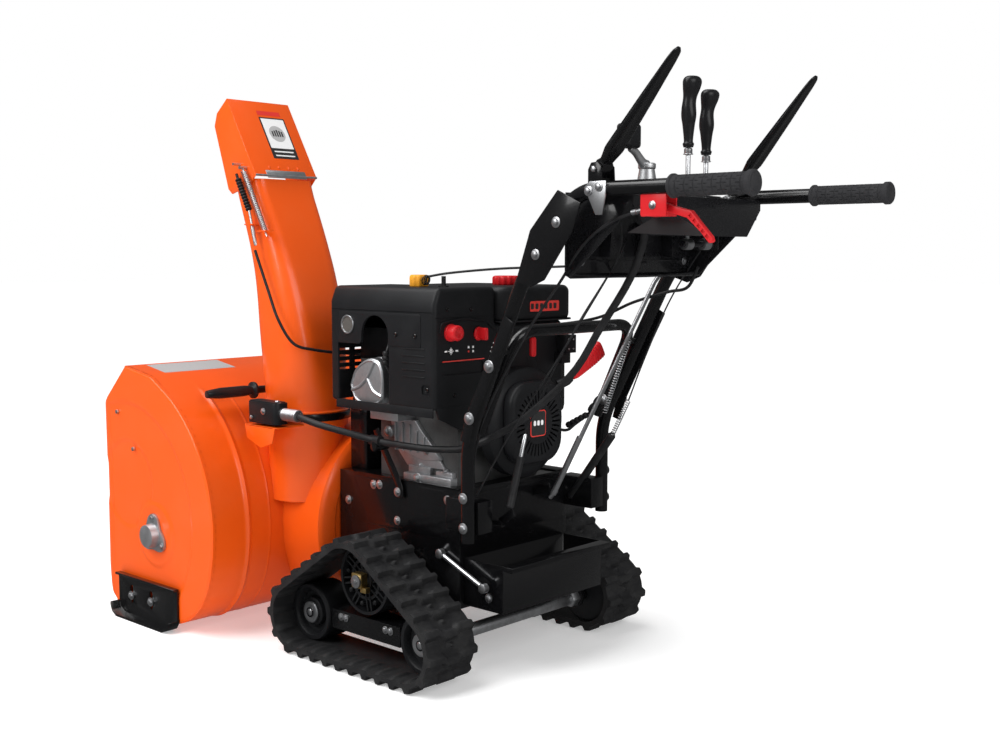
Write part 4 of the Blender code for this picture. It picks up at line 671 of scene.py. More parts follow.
# %% The wrap, with its beads
def make_wrap():
    """Height above the sheet: two beads that run round the barrel and fade out towards both ends of the profile."""
    across = np.concatenate([np.linspace(-WIDE + 0.002, -0.33, 8), np.linspace(-0.325, -0.225, 41)])
    across = np.concatenate([across, np.linspace(-0.2, 0.2, 9), -across[::-1]])
    outer, inner = wrap_line(), wrap_line(SHEET)
    bead = np.exp(-(((np.abs(across) - 0.292) / 0.005) ** 2)) * 0.0042
    bead = bead + np.exp(-(((np.abs(across) - 0.238) / 0.0016) ** 2)) * 0.0012
    ahead = unit(np.gradient(outer, axis=0))
    normal = np.stack([ahead[:, 1], -ahead[:, 0]], axis=1)
    normal = np.where((normal * (outer - np.array(BARREL))).sum(axis=1, keepdims=True) < 0, -normal, normal)
    share = step(np.arange(len(outer))[:, None], 2, 9) * step(np.arange(len(outer))[:, None], 70, 62)
    lift = bead[None, :] * share
    top = outer[:, None] + normal[:, None] * lift[..., None]
    x = np.broadcast_to(across[None, :], lift.shape)
    under = np.broadcast_to(inner[:, None], top.shape)[:, ::-1]
    points = np.concatenate([spot(x, top[..., 0], top[..., 1]), spot(x[:, ::-1], under[..., 0], under[..., 1])],
        axis=1)
    wrap = build("housing_wrap", [skin(points)], ORANGE, "chassis", "auger_housing", angle=40)
    mouth = lathe([(-0.56, 0.202), (-0.19, 0.202)], "y", DRUM_AXIS, 96)
    throat = lathe([(0.275, 0.0775), (0.6, 0.0775)], "z", CHUTE_AXIS, 72)
    carve(wrap, [mouth])
    carve(wrap, [throat])


def cheek_line():
    """The cheek's outline, walked once round, with its foot rounded in front."""
    front = np.array([(-0.726, 0.1), (-0.726, 0.3), (-0.726, 0.465), (-0.683, 0.505)])
    foot = np.array([0.69 + 0.036 * np.sin(np.radians(a)) for a in (20, 45, 70)])
    rise = np.array([0.1 - 0.0883 * np.cos(np.radians(a)) for a in (20, 45, 70)])
    return np.vstack([wrap_line(), np.stack([-foot, rise], axis=1), front])


def make_cheek(word, side):
    """Rings from the middle out: pushed in inside a circle round the barrel, round the bearing left flat."""
    line = cheek_line()
    closed = np.vstack([line, line[:1]])
    edge = evenly(closed, 260, endpoint=False)
    middle = np.array([-0.575, 0.26])
    reach = np.linalg.norm(edge - middle, axis=1)[None, :]
    share = np.concatenate([np.linspace(0.004, 0.95, 70), np.linspace(0.955, 1.0, 10)])[:, None]
    y = middle[0] + (edge[None, :, 0] - middle[0]) * share
    z = middle[1] + (edge[None, :, 1] - middle[1]) * share
    around = np.hypot(y - BARREL[0], z - BARREL[1])
    bearing = np.hypot(y + 0.536, z - 0.193)
    panel = step(around, 0.246, 0.236) * step(y, -0.712, -0.704) * step(bearing, 0.062, 0.072)
    deep = step(np.hypot(y + 0.64, z - 0.29), 0.098, 0.09) * step(bearing, 0.07, 0.078)
    sunk = 0.0032 * panel + 0.0022 * deep + 0.0015 * step(y, -0.716, -0.72)
    gap = (1 - share) * reach
    corner = 0.007
    curl = np.where(gap < corner, corner - np.sqrt(np.maximum(corner**2 - (corner - gap) ** 2, 0)), 0)
    x = WIDE - sunk - curl
    outer = spot(side * x, y, z)
    inner = spot(side * (x - SHEET), y, z)[::-1]
    cheek = build(f"housing_cheek_{word}", [skin(np.concatenate([outer, inner]))], ORANGE, "chassis", angle=50)
    carve(cheek, [lathe([(side * 0.3, 0.0135), (side * 0.42, 0.0135)], "x", AUGER_AXIS, 24)])


make_wrap()
for word, side in SIDES:
    make_cheek(word, side)
print("housing rebuilt:", "auger_housing" in REBUILT)

# %% [markdown]
# ## The drum, its throat and the chute
# The impeller's drum is a turned shell with a rolled rim behind. The throat that rises from it is a second
# turned shell, and a Boolean joins them and keeps both out of the housing. The chute is a loft: its section
# starts as a circle and becomes a channel with round corners, and a Boolean opens its front.


# %% Drum and throat
def make_drum():
    """A turned shell, a throat joined to it, both hollowed and kept out of the housing."""
    rim = [(-0.536, 0.205), (-0.222, 0.205), (-0.22, 0.2085), (-0.207, 0.2085), (-0.204, 0.205)]
    rim += [(-0.2, 0.198), (-0.2, 0.17), (-0.203, 0.165), (-0.203, 0.0)]
    drum = build("drum", [lathe([p for p in rim if p[1] > 0] + [(-0.203, 0.0012)], "y", DRUM_AXIS, 120)], ORANGE,
        "chassis", "impeller_drum", angle=40)
    foot = [(0.272, 0.074), (0.2745, 0.08), (0.425, 0.08), (0.426, 0.087), (0.4415, 0.087)]
    carve(drum, [lathe(foot, "z", CHUTE_AXIS, 72)], "UNION")
    hollow = [(-0.57, 0.202), (-0.2065, 0.202), (-0.2065, 0.012), (-0.19, 0.012)]
    carve(drum, [lathe(hollow, "y", DRUM_AXIS, 96)])
    carve(drum, [lathe([(0.275, 0.077), (0.46, 0.077)], "z", CHUTE_AXIS, 72)])
    outline = np.vstack([wrap_line(-0.0003), [(-0.8, 0.0)], [(-0.8, 0.6)]])
    carve(drum, [slab(outline, "x", -0.5, 0.5)])
    shelf = [slab(oblong((0.2, -0.352), (0.278, -0.252), 0.006), "z", 0.4335, 0.4365)]
    shelf.append(slab([(-0.352, 0.4365), (-0.252, 0.4365), (-0.262, 0.404), (-0.3, 0.392), (-0.345, 0.408)], "x",
        0.2755, 0.278))
    shelf += [brick((0.196, -0.352, 0.4), (0.236, -0.349, 0.4365))]
    build("gear_shelf", shelf, ORANGE, "chassis", bevel=0.001)


make_drum()


# %% Chute
def chute_rows(z):
    """Front, back, half width and corner radius at heights z, read smoothly between a few stations."""
    stations = np.array([
        (0.4571, -0.082, 0.082, 0.082, 0.081), (0.5, -0.083, 0.081, 0.082, 0.078),
        (0.56, -0.0835, 0.076, 0.0815, 0.066), (0.62, -0.084, 0.065, 0.08, 0.052),
        (0.712, -0.085, 0.041, 0.0785, 0.04), (0.78, -0.096, 0.015, 0.077, 0.034),
        (0.855, -0.12, -0.019, 0.076, 0.028), (0.938, -0.148, -0.06, 0.075, 0.022),
    ])
    columns = [np.interp(z, stations[:, 0], stations[:, k]) for k in range(1, 5)]
    return [np.convolve(np.pad(c, 6, mode="edge"), np.ones(13) / 13, "valid") for c in columns]


def chute_ring(z, inset):
    """A rectangle with round corners at each height, inset by a wall."""
    front, back, half, corner = (np.asarray(c)[:, None] for c in chute_rows(z))
    turn = np.radians(np.arange(0, 360, 90)[:, None] + np.linspace(0, 90, 13)[None]).reshape(1, -1)
    quarter = np.repeat(np.array([[1, -1, -1, 1]]), 13, axis=1).reshape(1, -1)
    upward = np.repeat(np.array([[1, 1, -1, -1]]), 13, axis=1).reshape(1, -1)
    radius = corner - inset
    x = CHUTE_AXIS[0] + quarter * (half - corner) + radius * np.cos(turn)
    middle, deep = (front + back) / 2, (back - front) / 2
    y = CHUTE_AXIS[1] + middle + upward * (deep - corner) + radius * np.sin(turn)
    return spot(x, y, np.asarray(z)[:, None] + 0 * x)


CHUTE_FOOT_Z, CHUTE_TOP_Z, CHUTE_WALL, MOUTH_HALF = 0.4571, 0.938, 0.0025, 0.0585


def make_chute():
    """Rings up the outside and down the inside, then the front cut open."""
    z = np.linspace(CHUTE_FOOT_Z, CHUTE_TOP_Z, 70)
    points = np.concatenate([chute_ring(z, 0.0), chute_ring(z, CHUTE_WALL)[::-1]])
    chute = build("chute_shell", [skin(points, closed_rows=True)], ORANGE, "chute_body", "chute", angle=40)
    mouth = [(-0.65, 0.615), (-0.392, 0.615), (-0.3915, 0.7), (-0.4, 0.76), (-0.411, 0.8), (-0.431, 0.86)]
    mouth += [(-0.459, 0.9405), (-0.65, 0.9405)]
    carve(chute, [slab(mouth, "x", CHUTE_AXIS[0] - MOUTH_HALF, CHUTE_AXIS[0] + MOUTH_HALF)])
    foot = [(0.4571, 0.08), (0.4571, 0.09), (0.4595, 0.09), (0.461, 0.0835), (0.465, 0.08)]
    build("chute_foot", [lathe(foot, "z", CHUTE_AXIS, 72, closed=True)], ORANGE, "chute_body", angle=35)


make_chute()

# %% [markdown]
# ## The chute's small fittings
# The spring and the bellows beside the chute hold and pull the deflector. The spring is a tube carried along
# a helix; the bellows is a turned profile of ridges, tilted to its line. The deflector's label is generic: a
# frame, a plain panel and a simple sign.


# %% Pieces along a line
def blunt(wave, power):
    """A wave made squarer: its size to a power below 1, with its sign kept."""
    return np.sign(wave) * np.abs(wave) ** power


def turned_between(start, end, profile, sides=24):
    """A profile of (share of the way, radius) turned round the line from start to end."""
    start, end = np.asarray(start, float), np.asarray(end, float)
    profile = np.asarray(profile, float)
    return tube(start + (end - start) * profile[:, :1] + unit(end - start) * np.arange(len(profile))[:, None] * 1e-7,
        profile[:, 1], sides)


def pin(start, end, radius, sides=12):
    """A straight round bar from start to end."""
    return turned_between(start, end, [(0, radius), (1, radius)], sides)


def coil(start, end, radius, wire, turns, sides=8):
    """A wire carried along a helix from start to end."""
    start, end = np.asarray(start, float), np.asarray(end, float)
    way = unit(end - start)
    side = unit(np.cross(way, [0.0, 0.0, 1.0]))
    other = np.cross(way, side)
    t = np.linspace(0, 1, turns * 14)[:, None]
    turn = 2 * np.pi * turns * t
    path = start + (end - start) * t + (side * np.cos(turn) + other * np.sin(turn)) * radius
    ahead = unit(np.gradient(path, axis=0))
    ring_side = unit(np.cross(ahead, way))
    ring_other = np.cross(ahead, ring_side)
    angle = np.linspace(0, 2 * np.pi, sides, endpoint=False)[None, :, None]
    ring = ring_side[:, None] * np.cos(angle) + ring_other[:, None] * np.sin(angle)
    return skin(path[:, None] + ring * wire)


def bead_profile(count, low, high):
    """Ridges: radius swings between low and high, count times."""
    share = np.linspace(0, 1, count * 8 + 1)
    return np.stack([share, low + (high - low) * np.abs(np.sin(share * np.pi * count)) ** 0.6], axis=1)


SPRING_TOP, SPRING_FOOT = spot(0.2345, -0.398, 0.952), spot(0.2345, -0.33, 0.83)
spring = [coil(SPRING_TOP, SPRING_FOOT, 0.0052, 0.0011, 34)]
build("spring_coil", spring, ZINC, "chute_body", "deflector_spring", angle=60)
rod_line = [pin(SPRING_TOP + (SPRING_TOP - SPRING_FOOT) * 0.06, SPRING_FOOT + (SPRING_FOOT - SPRING_TOP) * 0.1,
    0.0022, 12)]
build("spring_rod", rod_line, ZINC, "chute_body")
bellows = [turned_between(spot(0.2345, -0.419, 0.938), spot(0.2345, -0.382, 0.872), bead_profile(11, 0.0035, 0.0068),
    20)]
bellows.append(pin(spot(0.2345, -0.424, 0.948), spot(0.2345, -0.419, 0.938), 0.003, 12))
build("cable_bellows", bellows, CABLE, "chute_body", angle=60)
ferrule = [turned_between(spot(0.2345, -0.382, 0.872), spot(0.238, -0.357, 0.8),
    [(0, 0.0028), (0.45, 0.0028), (0.46, 0.0042), (0.9, 0.0042), (1, 0.003)], 16)]
build("cable_ferrule", ferrule, ZINC, "chute_body")
route = np.array([(0.24, -0.357, 0.79), (0.24, -0.316, 0.71), (0.241, -0.282, 0.65), (0.224, -0.256, 0.603),
                  (0.185, -0.24, 0.589), (0.125, -0.232, 0.58), (0.04, -0.222, 0.572), (-0.06, -0.205, 0.57),
                  (-0.15, -0.165, 0.59), (-0.185, -0.09, 0.63), (-0.19, 0.06, 0.635), (-0.18, 0.2, 0.655),
                  (-0.155, 0.31, 0.69), (-0.14, 0.4, 0.712), (-0.132, 0.45, 0.722), (-0.122, 0.48, 0.76)])
cable = build("deflector_cable_run", [tube(through(spots(route), 220), 0.003, 12)], CABLE, None, "deflector_cable",
    angle=60)
spot(0.24, -0.33, 0.74)
spot(0.06, -0.225, 0.57)
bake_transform(cable)
tabs = [brick((0.2215, -0.388, 0.842), (0.244, -0.36, 0.8445)),
    brick((0.2215, -0.345, 0.828), (0.244, -0.316, 0.8305))]
tabs += [slab([(-0.388, 0.842), (-0.36, 0.842), (-0.362, 0.826), (-0.38, 0.826)], "x", 0.2215, 0.224)]
build("chute_tabs", tabs, ORANGE, "chute_body", bevel=0.0008)
hook = [pin(spot(0.223, -0.402, 0.96), spot(0.243, -0.402, 0.96), 0.0035, 12)]
hook.append(pin(spot(0.223, -0.424, 0.968), spot(0.243, -0.424, 0.968), 0.003, 12))
build("deflector_pins", hook, ZINC, "deflector_body")


# %% Deflector hinge and label
LEAN, HINGE = math.radians(30.6), (-0.371, 0.945)


def on_hood(x, up, off):
    """A point on the hood's back wall: across it, up it from the hinge and off its face."""
    y = HINGE[0] - up * math.sin(LEAN) + off * math.cos(LEAN)
    z = HINGE[1] + up * math.cos(LEAN) + off * math.sin(LEAN)
    return spot(x, y, z)


def hood_plate(left, right, low, high, thick, base=0.0, round_by=0.0):
    """A thin rectangle that lies on the hood, base above its face."""
    outline = oblong((left, low), (right, high), round_by or 0.0005, 3)
    points = [on_hood(outline[:, 0], outline[:, 1], off) for off in (base, base + thick)]
    return skin(np.stack(points))


def plain(name, colour, roughness=0.4, metallic=0.0):
    """A printed or painted mark: one colour with faint scuffs."""
    finish = Finish(name, colour, roughness, metallic)
    scuff = finish.clipped(finish.noise(180.0, 5.0, 0.7), 0.55, 0.85)
    worn = tuple(c * 0.82 + 0.03 for c in colour)
    finish.put("Base Color", finish.mixed(scuff, colour, worn))
    finish.put("Roughness", roughness + scuff * 0.2)
    return finish.material


LABEL_WHITE = plain("label_white", (0.8, 0.8, 0.8))
LABEL_BLACK = plain("label_black", (0.02, 0.02, 0.02))
LABEL_RED = plain("label_red", (0.65, 0.03, 0.02))
LABEL_GREY = plain("label_grey", (0.42, 0.42, 0.42))
build("hood_label_frame", [hood_plate(0.094, 0.16, 0.044, 0.148, 0.0004, 0.0, 0.002)], LABEL_BLACK, "deflector_body")
panels = [hood_plate(0.0975, 0.1565, 0.07, 0.1445, 0.0003, 0.0004)]
panels += [hood_plate(0.102, 0.152, low, low + 0.003, 0.0003, 0.0004) for low in (0.05, 0.06)]
build("hood_label_panel", panels, LABEL_WHITE, "deflector_body")
ring = arc((0.127, 0.107), 0.02, 0, 360, 40)
sign = [skin(np.stack([on_hood(r[:, 0], r[:, 1], off) for r, off in ((ring, 0.0007), (ring, 0.0009))]))]
build("hood_label_sign", sign, LABEL_GREY, "deflector_body")
hand = [hood_plate(0.113 + 0.006 * k, 0.1165 + 0.006 * k, 0.1, 0.117 - 0.002 * abs(k - 2), 0.0003,
    0.0009) for k in range(5)]
build("hood_label_hand", hand, LABEL_BLACK, "deflector_body")
build("hood_label_strip", [hood_plate(0.1, 0.16, 0.153, 0.164, 0.0004)], LABEL_RED, "deflector_body")
hinge = [hood_plate(0.094, 0.196, -0.006, 0.0125, 0.0015, 0.0, 0.002)]
build("hood_hinge", hinge, ZINC, "deflector_body", bevel=0.0004)
rivets = []
for x in (0.108, 0.132, 0.158, 0.182):
    rivets.append(turned_between(on_hood(x, 0.0205, -0.0005), on_hood(x, 0.0205, 0.0016),
        [(0, 0.0032), (0.6, 0.003), (1, 0.0016)], 14))
build("hood_rivets", rivets, ORANGE, "deflector_body")
build("hood_pin", [pin(spot(0.066, *HINGE), spot(0.224, *HINGE), 0.0024, 12)], ZINC, "deflector_body")

# %% [markdown]
# ## Gear case, bearings, shoes and bolts of the front end
# Hexagon heads on washers hold everything here, so one helper places them wherever a joint needs one.

# %% Front end hardware
def on_circle(centre, radius, turn):
    return centre[0] + radius * math.cos(turn), centre[1] + radius * math.sin(turn)


heads = []
for side in (-1, 1):
    for k in range(3):
        turn = math.radians(90 + 120 * k)
        place = on_circle(AUGER_AXIS, 0.0375, turn)
        heads += bolt(place, "x", side * CHEEK_FACE, side, 0.005)
    for y in (-0.626, -0.55):
        heads += bolt((y, 0.047), "x", side * (CHEEK_FACE + 0.0005), side, 0.0062)
    for place in ((-0.674, 0.443), (-0.613, 0.368)):
        heads.append(lathe([(side * 0.378, 0.0048), (side * 0.3815, 0.0044), (side * 0.3825, 0.002)], "x", place, 16))
build("front_bolts", heads, ZINC, "chassis")
under = []
for x in (-0.3, -0.1, 0.1, 0.3):
    under += bolt((x, -0.655), "z", 0.0055, -1, 0.0042, False)
build("scraper_bolts", under, ZINC, "chassis")
case = bolt((-0.29, 0.467), "x", 0.2768, 1, 0.0045) + bolt((-0.328, 0.452), "x", 0.2768, 1, 0.0045, False)
case += bolt((0.262, -0.262), "z", 0.4852, 1, 0.0055)
case.append(turned_between(spot(0.258, -0.248, 0.463), spot(0.258, -0.2, 0.463), bead_profile(9, 0.0112, 0.0128), 28))
build("gear_case_bolts", case, ZINC, "chassis")
lid = [slab(oblong((0.244, -0.343), (0.274, -0.254), 0.008), "z", 0.4848, 0.4868)]
lid += [lathe([(-0.262, 0.0135), (-0.244, 0.0135)], "y", (0.258, 0.463), 24)]
build("gear_case_lid", lid, BLACK_PLASTIC, "chassis", bevel=0.0012)
ring_bolts = []
for turn in np.radians([40, 130, 220, 310]):
    place = on_circle(CHUTE_AXIS, 0.089, turn)
    ring_bolts += bolt(place, "z", 0.4568, 1, 0.004, False)
build("ring_bolts", ring_bolts, ZINC, "chute_body")
top_label = [slab(np.array([(0.15, -0.632), (0.33, -0.632), (0.33, -0.56), (0.15, -0.56)]), "z", 0.0, 0.0006)]
points, faces = top_label[0]
points[:, 2] += 0.5447 - (points[:, 1] - AXLE_Y + 0.64) * 0.1667
build("housing_label", [(points, faces)], LABEL_GREY, "chassis")

# %% [markdown]
# ## The engine's cover
# A moulded cover is a thin shell with generous radii. Its section is drawn once, carried through the depth
# and bevelled; Booleans then hollow it, open the window over the cylinder and cut its seams and louvres.
# Doing the radii first keeps the Boolean's walls crisp where a real mould would leave them crisp.

# %% Cover
WINDOW = np.vstack([
    [(-0.122, 0.47), (0.024, 0.47)], arc((-0.014, 0.63), 0.038, 0, 180, 16), [(-0.052, 0.622)],
    arc((-0.062, 0.622), 0.01, 0, -90, 5), [(-0.122, 0.612)],
])


PORT_AT, FILLER_AT = (-0.091, 0.648), (-0.05, 0.075)


def cover_line(inset):
    """The cover's section across the machine, with the step that the tank sits on."""
    left, right = 0.22 - inset, -0.14 + inset
    low = 0.497 - (0.02 if inset else 0)
    line = [(left, low), (left, 0.692 - inset), (left - 0.012, 0.722 - inset), (0.0575 + inset, 0.722 - inset)]
    return line + [(0.0575 + inset, 0.652 - inset), (right, 0.652 - inset), (right, low)]


cover = build("engine_cover", [slab(cover_line(0), "y", -0.146, 0.146)], BLACK_PLASTIC, "chassis", "engine_shroud",
    bevel=0.009, segments=4)
carve(cover, [slab(cover_line(0.004), "y", -0.142, 0.142)])
carve(cover, [slab(WINDOW, "x", 0.21, 0.23)])
seams = [brick((0.2188, -0.16, 0.676), (0.23, 0.16, 0.6775)), brick((0.06, 0.1448, 0.666), (0.23, 0.16, 0.6675))]
pocket = [slab(oblong((0.112, 0.526), (0.136, 0.545), 0.006), "x", 0.2172, 0.23)]
shelf = [slab(oblong((0.092, 0.562), (0.2, 0.585), 0.006), "y", 0.1432, 0.16)]
louvres = [brick((x, -0.16, z), (x + 0.03, -0.13, z + 0.0045)) for x in (0.13,
    0.172) for z in 0.556 + 0.0125 * np.arange(4)]
carve(cover, seams + pocket + shelf + louvres)
panel = [slab(oblong((-0.118, 0.612), (0.111, 0.674), 0.005), "x", 0.2195, 0.2213)]
panel = build("cover_panel", panel, BLACK_PLASTIC, "chassis", bevel=0.0006)
carve(panel, [slab(WINDOW, "x", 0.21, 0.23)])
ribs = [brick((0.2195, 0.06, z), (0.2212, 0.121, z + 0.003)) for z in 0.5565 + 0.013 * np.arange(5)]
chin = np.array([(0.213, 0.502), (0.206, 0.482), (0.151, 0.457), (0.1, 0.452), (0.1, 0.502)])
ribs += [slab(chin, "y", 0.1395, 0.1452), brick((0.2165, -0.13, 0.485), (0.2195, 0.14, 0.502))]
brow = spots([(0.206, 0.146, 0.64), (0.203, 0.1475, 0.658), (0.15, 0.1485, 0.664), (0.085, 0.1475, 0.658),
    (0.06, 0.146, 0.64)])
ribs.append(tube(rounded_path(brow, 0.006, 4), 0.0022, 8))
build("cover_ribs", ribs, BLACK_PLASTIC, "chassis", bevel=0.0008)
port = [lathe([(0.2215, 0.0145), (0.2235, 0.015), (0.2235, 0.018), (0.2215, 0.0185)], "x", PORT_AT, 40, closed=True)]
build("cover_port_rim", port, ZINC, "chassis", bevel=0.0004)
PORT_MESH = plain("port_mesh", (0.12, 0.11, 0.1), 0.6, 0.5)
build("cover_port", [lathe([(0.22, 0.0146), (0.222, 0.0146), (0.2224, 0.008)], "x", PORT_AT, 32)], PORT_MESH,
    "chassis")


def screw(centre, axis, along, way, radius):
    """A low domed head with a cross slot's worth of hollow."""
    profile = [(0, radius), (0.001, radius), (0.0022, radius * 0.7), (0.0016, radius * 0.35), (0.0012, 0.0001)]
    return lathe([(along + way * a, r) for a, r in profile], axis, centre, 20)


screws = [screw(p, "x", 0.2213, 1, 0.0046) for p in ((0.045, 0.634), (0.097, 0.633))]
screws += [screw(p, "y", 0.146, 1, 0.0042) for p in ((0.187, 0.683), (0.125, 0.681), (0.169, 0.524))]
screws.append(screw((0.124, 0.5355), "x", 0.2172, 1, 0.0046))
build("cover_screws", screws, BLACK_PAINT, "chassis")
marks = [brick((0.178 - w, 0.1462, 0.606 - h), (0.178 + w, 0.1468, 0.606 + h)) for w,
    h in ((0.0065, 0.0008), (0.0008, 0.0065))]
for c, s in ((0.707, 0.707), (0.707, -0.707)):
    ends = ((1, -1), (1, 1), (-1, 1), (-1, -1))
    stroke = [(0.178 + 0.005 * a * c + 0.0006 * b * s, 0.606 + 0.005 * a * s - 0.0006 * b * c) for a, b in ends]
    marks.append(slab(stroke, "y", 0.1462, 0.1468))
marks += [brick((x, 0.1462, 0.6045), (x + 0.006, 0.1468, 0.6075)) for x in (0.16, 0.188)]
marks += [brick((x, 0.1462, z), (x + 0.004, 0.1468, z + 0.004)) for x,
    z in ((0.118, 0.609), (0.13, 0.609), (0.118, 0.601))]
marks += [lathe([(0.1462, r), (0.1468, r)], "y", (0.073 - 0.0045 * k, 0.6 + 0.0075 * k), 12) for k,
    r in enumerate((0.001, 0.0014, 0.0018))]
build("cover_marks", marks, LABEL_WHITE, "chassis")
lines = [brick((0.09, 0.1462, 0.5865), (0.2, 0.147, 0.5885)),
    lathe([(0.1462, 0.002), (0.1469, 0.002)], "y", (0.132, 0.603), 12)]
build("cover_red_line", lines, LABEL_RED, "chassis")
inner = [brick((-0.118, -0.138, 0.505), (0.15, 0.1, 0.64))]
build("engine_inside", inner, CABLE, "chassis", bevel=0.004)

# %% [markdown]
# ## Cylinder head, crankcase, tank, caps and controls
# The rocker cover is a bright die casting with raised ribs that meet in a Y. The caps have grip ribs: a
# turned shape whose radius swings as the angle goes round.


# %% Rocker cover and castings
def spline_slab(points, axis, low, high, count=72):
    """A slab whose outline is a smooth closed curve through the points."""
    return slab(through(np.vstack([points, points[:1]]), count + 1)[:-1], axis, low, high)


BRIGHT = plated("bright_die_casting", (0.8, 0.81, 0.83), (0.62, 0.63, 0.65), 0.3, 500.0)
ROCKER = np.array([(-0.103, 0.53), (-0.086, 0.562), (-0.05, 0.583), (-0.02, 0.58), (-0.008, 0.56), (-0.006, 0.525),
    (-0.012, 0.5), (-0.05, 0.492), (-0.088, 0.5)])
rocker = [spline_slab(ROCKER, "x", 0.186, 0.208)]
rocker.append(spline_slab(ROCKER * 1.04 - np.array([-0.0022, 0.0213]), "x", 0.1748, 0.1866))
build("rocker_cover", rocker, BRIGHT, "chassis", "valve_cover", bevel=0.0035, segments=4, angle=25)
ridges = []
for line in ([(-0.052, 0.545), (-0.04, 0.562), (-0.03, 0.578)], [(-0.052, 0.545), (-0.074, 0.528), (-0.096, 0.52)],
    [(-0.052, 0.545), (-0.035, 0.522), (-0.012, 0.512)]):
    path = through(np.array([(0.2065, *p) for p in line]), 24)
    ridges.append(tube(spot(*path.T), 0.0042, 10))
ring_line = ROCKER * 0.9 + np.array([-0.005, 0.0536])
loop = through(np.vstack([ring_line, ring_line[:1]]), 100)
ridges.append(tube(spot(np.full(len(loop), 0.2062), *loop.T), 0.003, 8))
build("rocker_ridges", ridges, BRIGHT, "chassis")
casting = [slab(np.array([(-0.062, 0.462), (0.01, 0.462), (0.026, 0.445), (0.055, 0.419), (0.078, 0.392),
    (0.03, 0.386), (-0.02, 0.398), (-0.052, 0.43)]), "x", 0.1301, 0.14)]
casting += [slab(np.array([(-0.048, 0.404), (0.072, 0.392), (0.086, 0.374), (-0.018, 0.372)]), "x", 0.1301, 0.136)]
casting += [brick((0.1303, y, 0.4), (0.144, y + 0.004, 0.456 - 0.5 * max(0.0, y + 0.01))) for y in (-0.046, -0.026,
    -0.006, 0.014, 0.034)]
casting += [brick((0.12, -0.016, 0.3455), (0.148, 0.114, 0.36)), brick((0.118, -0.01, 0.36), (0.14, 0.05, 0.374)),
    brick((0.118, 0.066, 0.36), (0.14, 0.11, 0.37))]
casting += [lathe([(0.13, 0.012), (0.148, 0.012), (0.15, 0.01)], "x", (-0.058, 0.436), 20),
    brick((0.13, -0.08, 0.462), (0.176, 0.0, 0.478))]
build("engine_castings", casting, CAST_ALUMINIUM, "chassis", bevel=0.0022, segments=3)
dress("engine_block", CAST_IRON, width=0.004, segments=3)
REBUILT.add("engine_block")
hardware = bolt((0.024, 0.352), "x", 0.148, 1, 0.0065) + bolt((0.134, 0.02), "z", 0.374, 1, 0.006)
hardware += bolt((0.134, 0.088), "z", 0.37, 1, 0.006) + bolt((-0.058, 0.436), "x", 0.15, 1, 0.006)
hardware += bolt((0.04, 0.405), "x", 0.14, 1, 0.0045) + bolt((-0.094, 0.486), "x", 0.1866, 1, 0.005)
hardware += bolt((0.006, 0.488), "x", 0.1866, 1, 0.005)
build("engine_bolts", hardware, ZINC, "chassis")
lead = through(spots([(0.19, -0.004, 0.62), (0.204, 0.004, 0.604), (0.207, 0.0, 0.585), (0.2, 0.004, 0.56),
    (0.185, 0.006, 0.54)]), 40)
boot = [tube(lead, 0.0034, 10), turned_between(spot(0.206, 0.002, 0.6), spot(0.206, 0.0, 0.574),
    bead_profile(3, 0.0055, 0.0075), 18)]
build("spark_lead", boot, CABLE, "chassis")


# %% Tank, caps and controls
def grip_cap(name, centre, low, high, radius, ribs, material, body, *nodes):
    """A cap whose wall swings in and out round the turn, with a domed top."""
    turn = np.linspace(0, 2 * np.pi, ribs * 8, endpoint=False)[None, :]
    wave = 1 + 0.035 * np.clip(np.sin(turn * ribs) * 2.5, -1, 1)
    rows = np.array([(0, 0.96, 1), (0.12, 1, 1), (0.72, 1, 1), (0.9, 0.96, 1), (1.0, 0.86, 0), (1.0, 0.6, 0),
        (0.93, 0.55, 0), (0.93, 0.01, 0)])
    r = radius / 1.035 * rows[:, 1:2] * (1 + (wave - 1) * rows[:, 2:3])
    z = low + (high - low) * rows[:, :1] + 0 * turn
    points = spot(centre[0] + r * np.cos(turn), centre[1] + r * np.sin(turn), z)
    return build(name, [skin(points)], material, body, *nodes, angle=40)


tank = [slab(oblong((-0.155, -0.12), (0.056, 0.165), 0.03, 8), "z", 0.6524, 0.7218)]
tank = build("tank_shell", tank, BLACK_PLASTIC, "chassis", "fuel_tank", bevel=0.013, segments=5)
carve(tank, [lathe([(0.71, 0.018), (0.73, 0.018)], "z", FILLER_AT, 32)])
flange = [slab(oblong((-0.159, -0.124), (0.0565, 0.169), 0.032, 8), "z", 0.653, 0.6562)]
build("tank_flange", flange, BLACK_PLASTIC, "chassis", bevel=0.001)
label = [slab(oblong((-0.105, 0.672), (-0.019, 0.692), 0.003), "y", 0.1652, 0.1657)]
build("tank_label", label, LABEL_RED, "chassis")
label = [slab(oblong((-0.097 + 0.0135 * k, 0.6765), (-0.0885 + 0.0135 * k, 0.6875), 0.002), "y", 0.1657,
    0.166) for k in range(6)]
build("tank_label_marks", label, LABEL_BLACK, "chassis")
grip_cap("fuel_cap_grip", FILLER_AT, 0.7226, 0.74, 0.028, 14, RED_PLASTIC, "fuel_cap_body", "fuel_cap")
grip_cap("oil_cap_grip", (0.16, 0.044), 0.7226, 0.744, 0.018, 9, YELLOW_PLASTIC, "oil_cap_body", "oil_cap")
loops = []
for k, turn in enumerate((0.0, 0.7, 1.5)):
    a = np.linspace(0, 2 * np.pi, 29)[:, None]
    ring = np.array([0.166 + 0.002 * k, 0.068 + 0.004 * k, 0.7345]) + 0.0085 * (np.cos(a) * np.array([math.cos(turn),
        math.sin(turn), 0.0]) + np.sin(a) * np.array([0, 0.2, 1.0]))
    loops.append(tube(spot(*ring.T), 0.0011, 6))
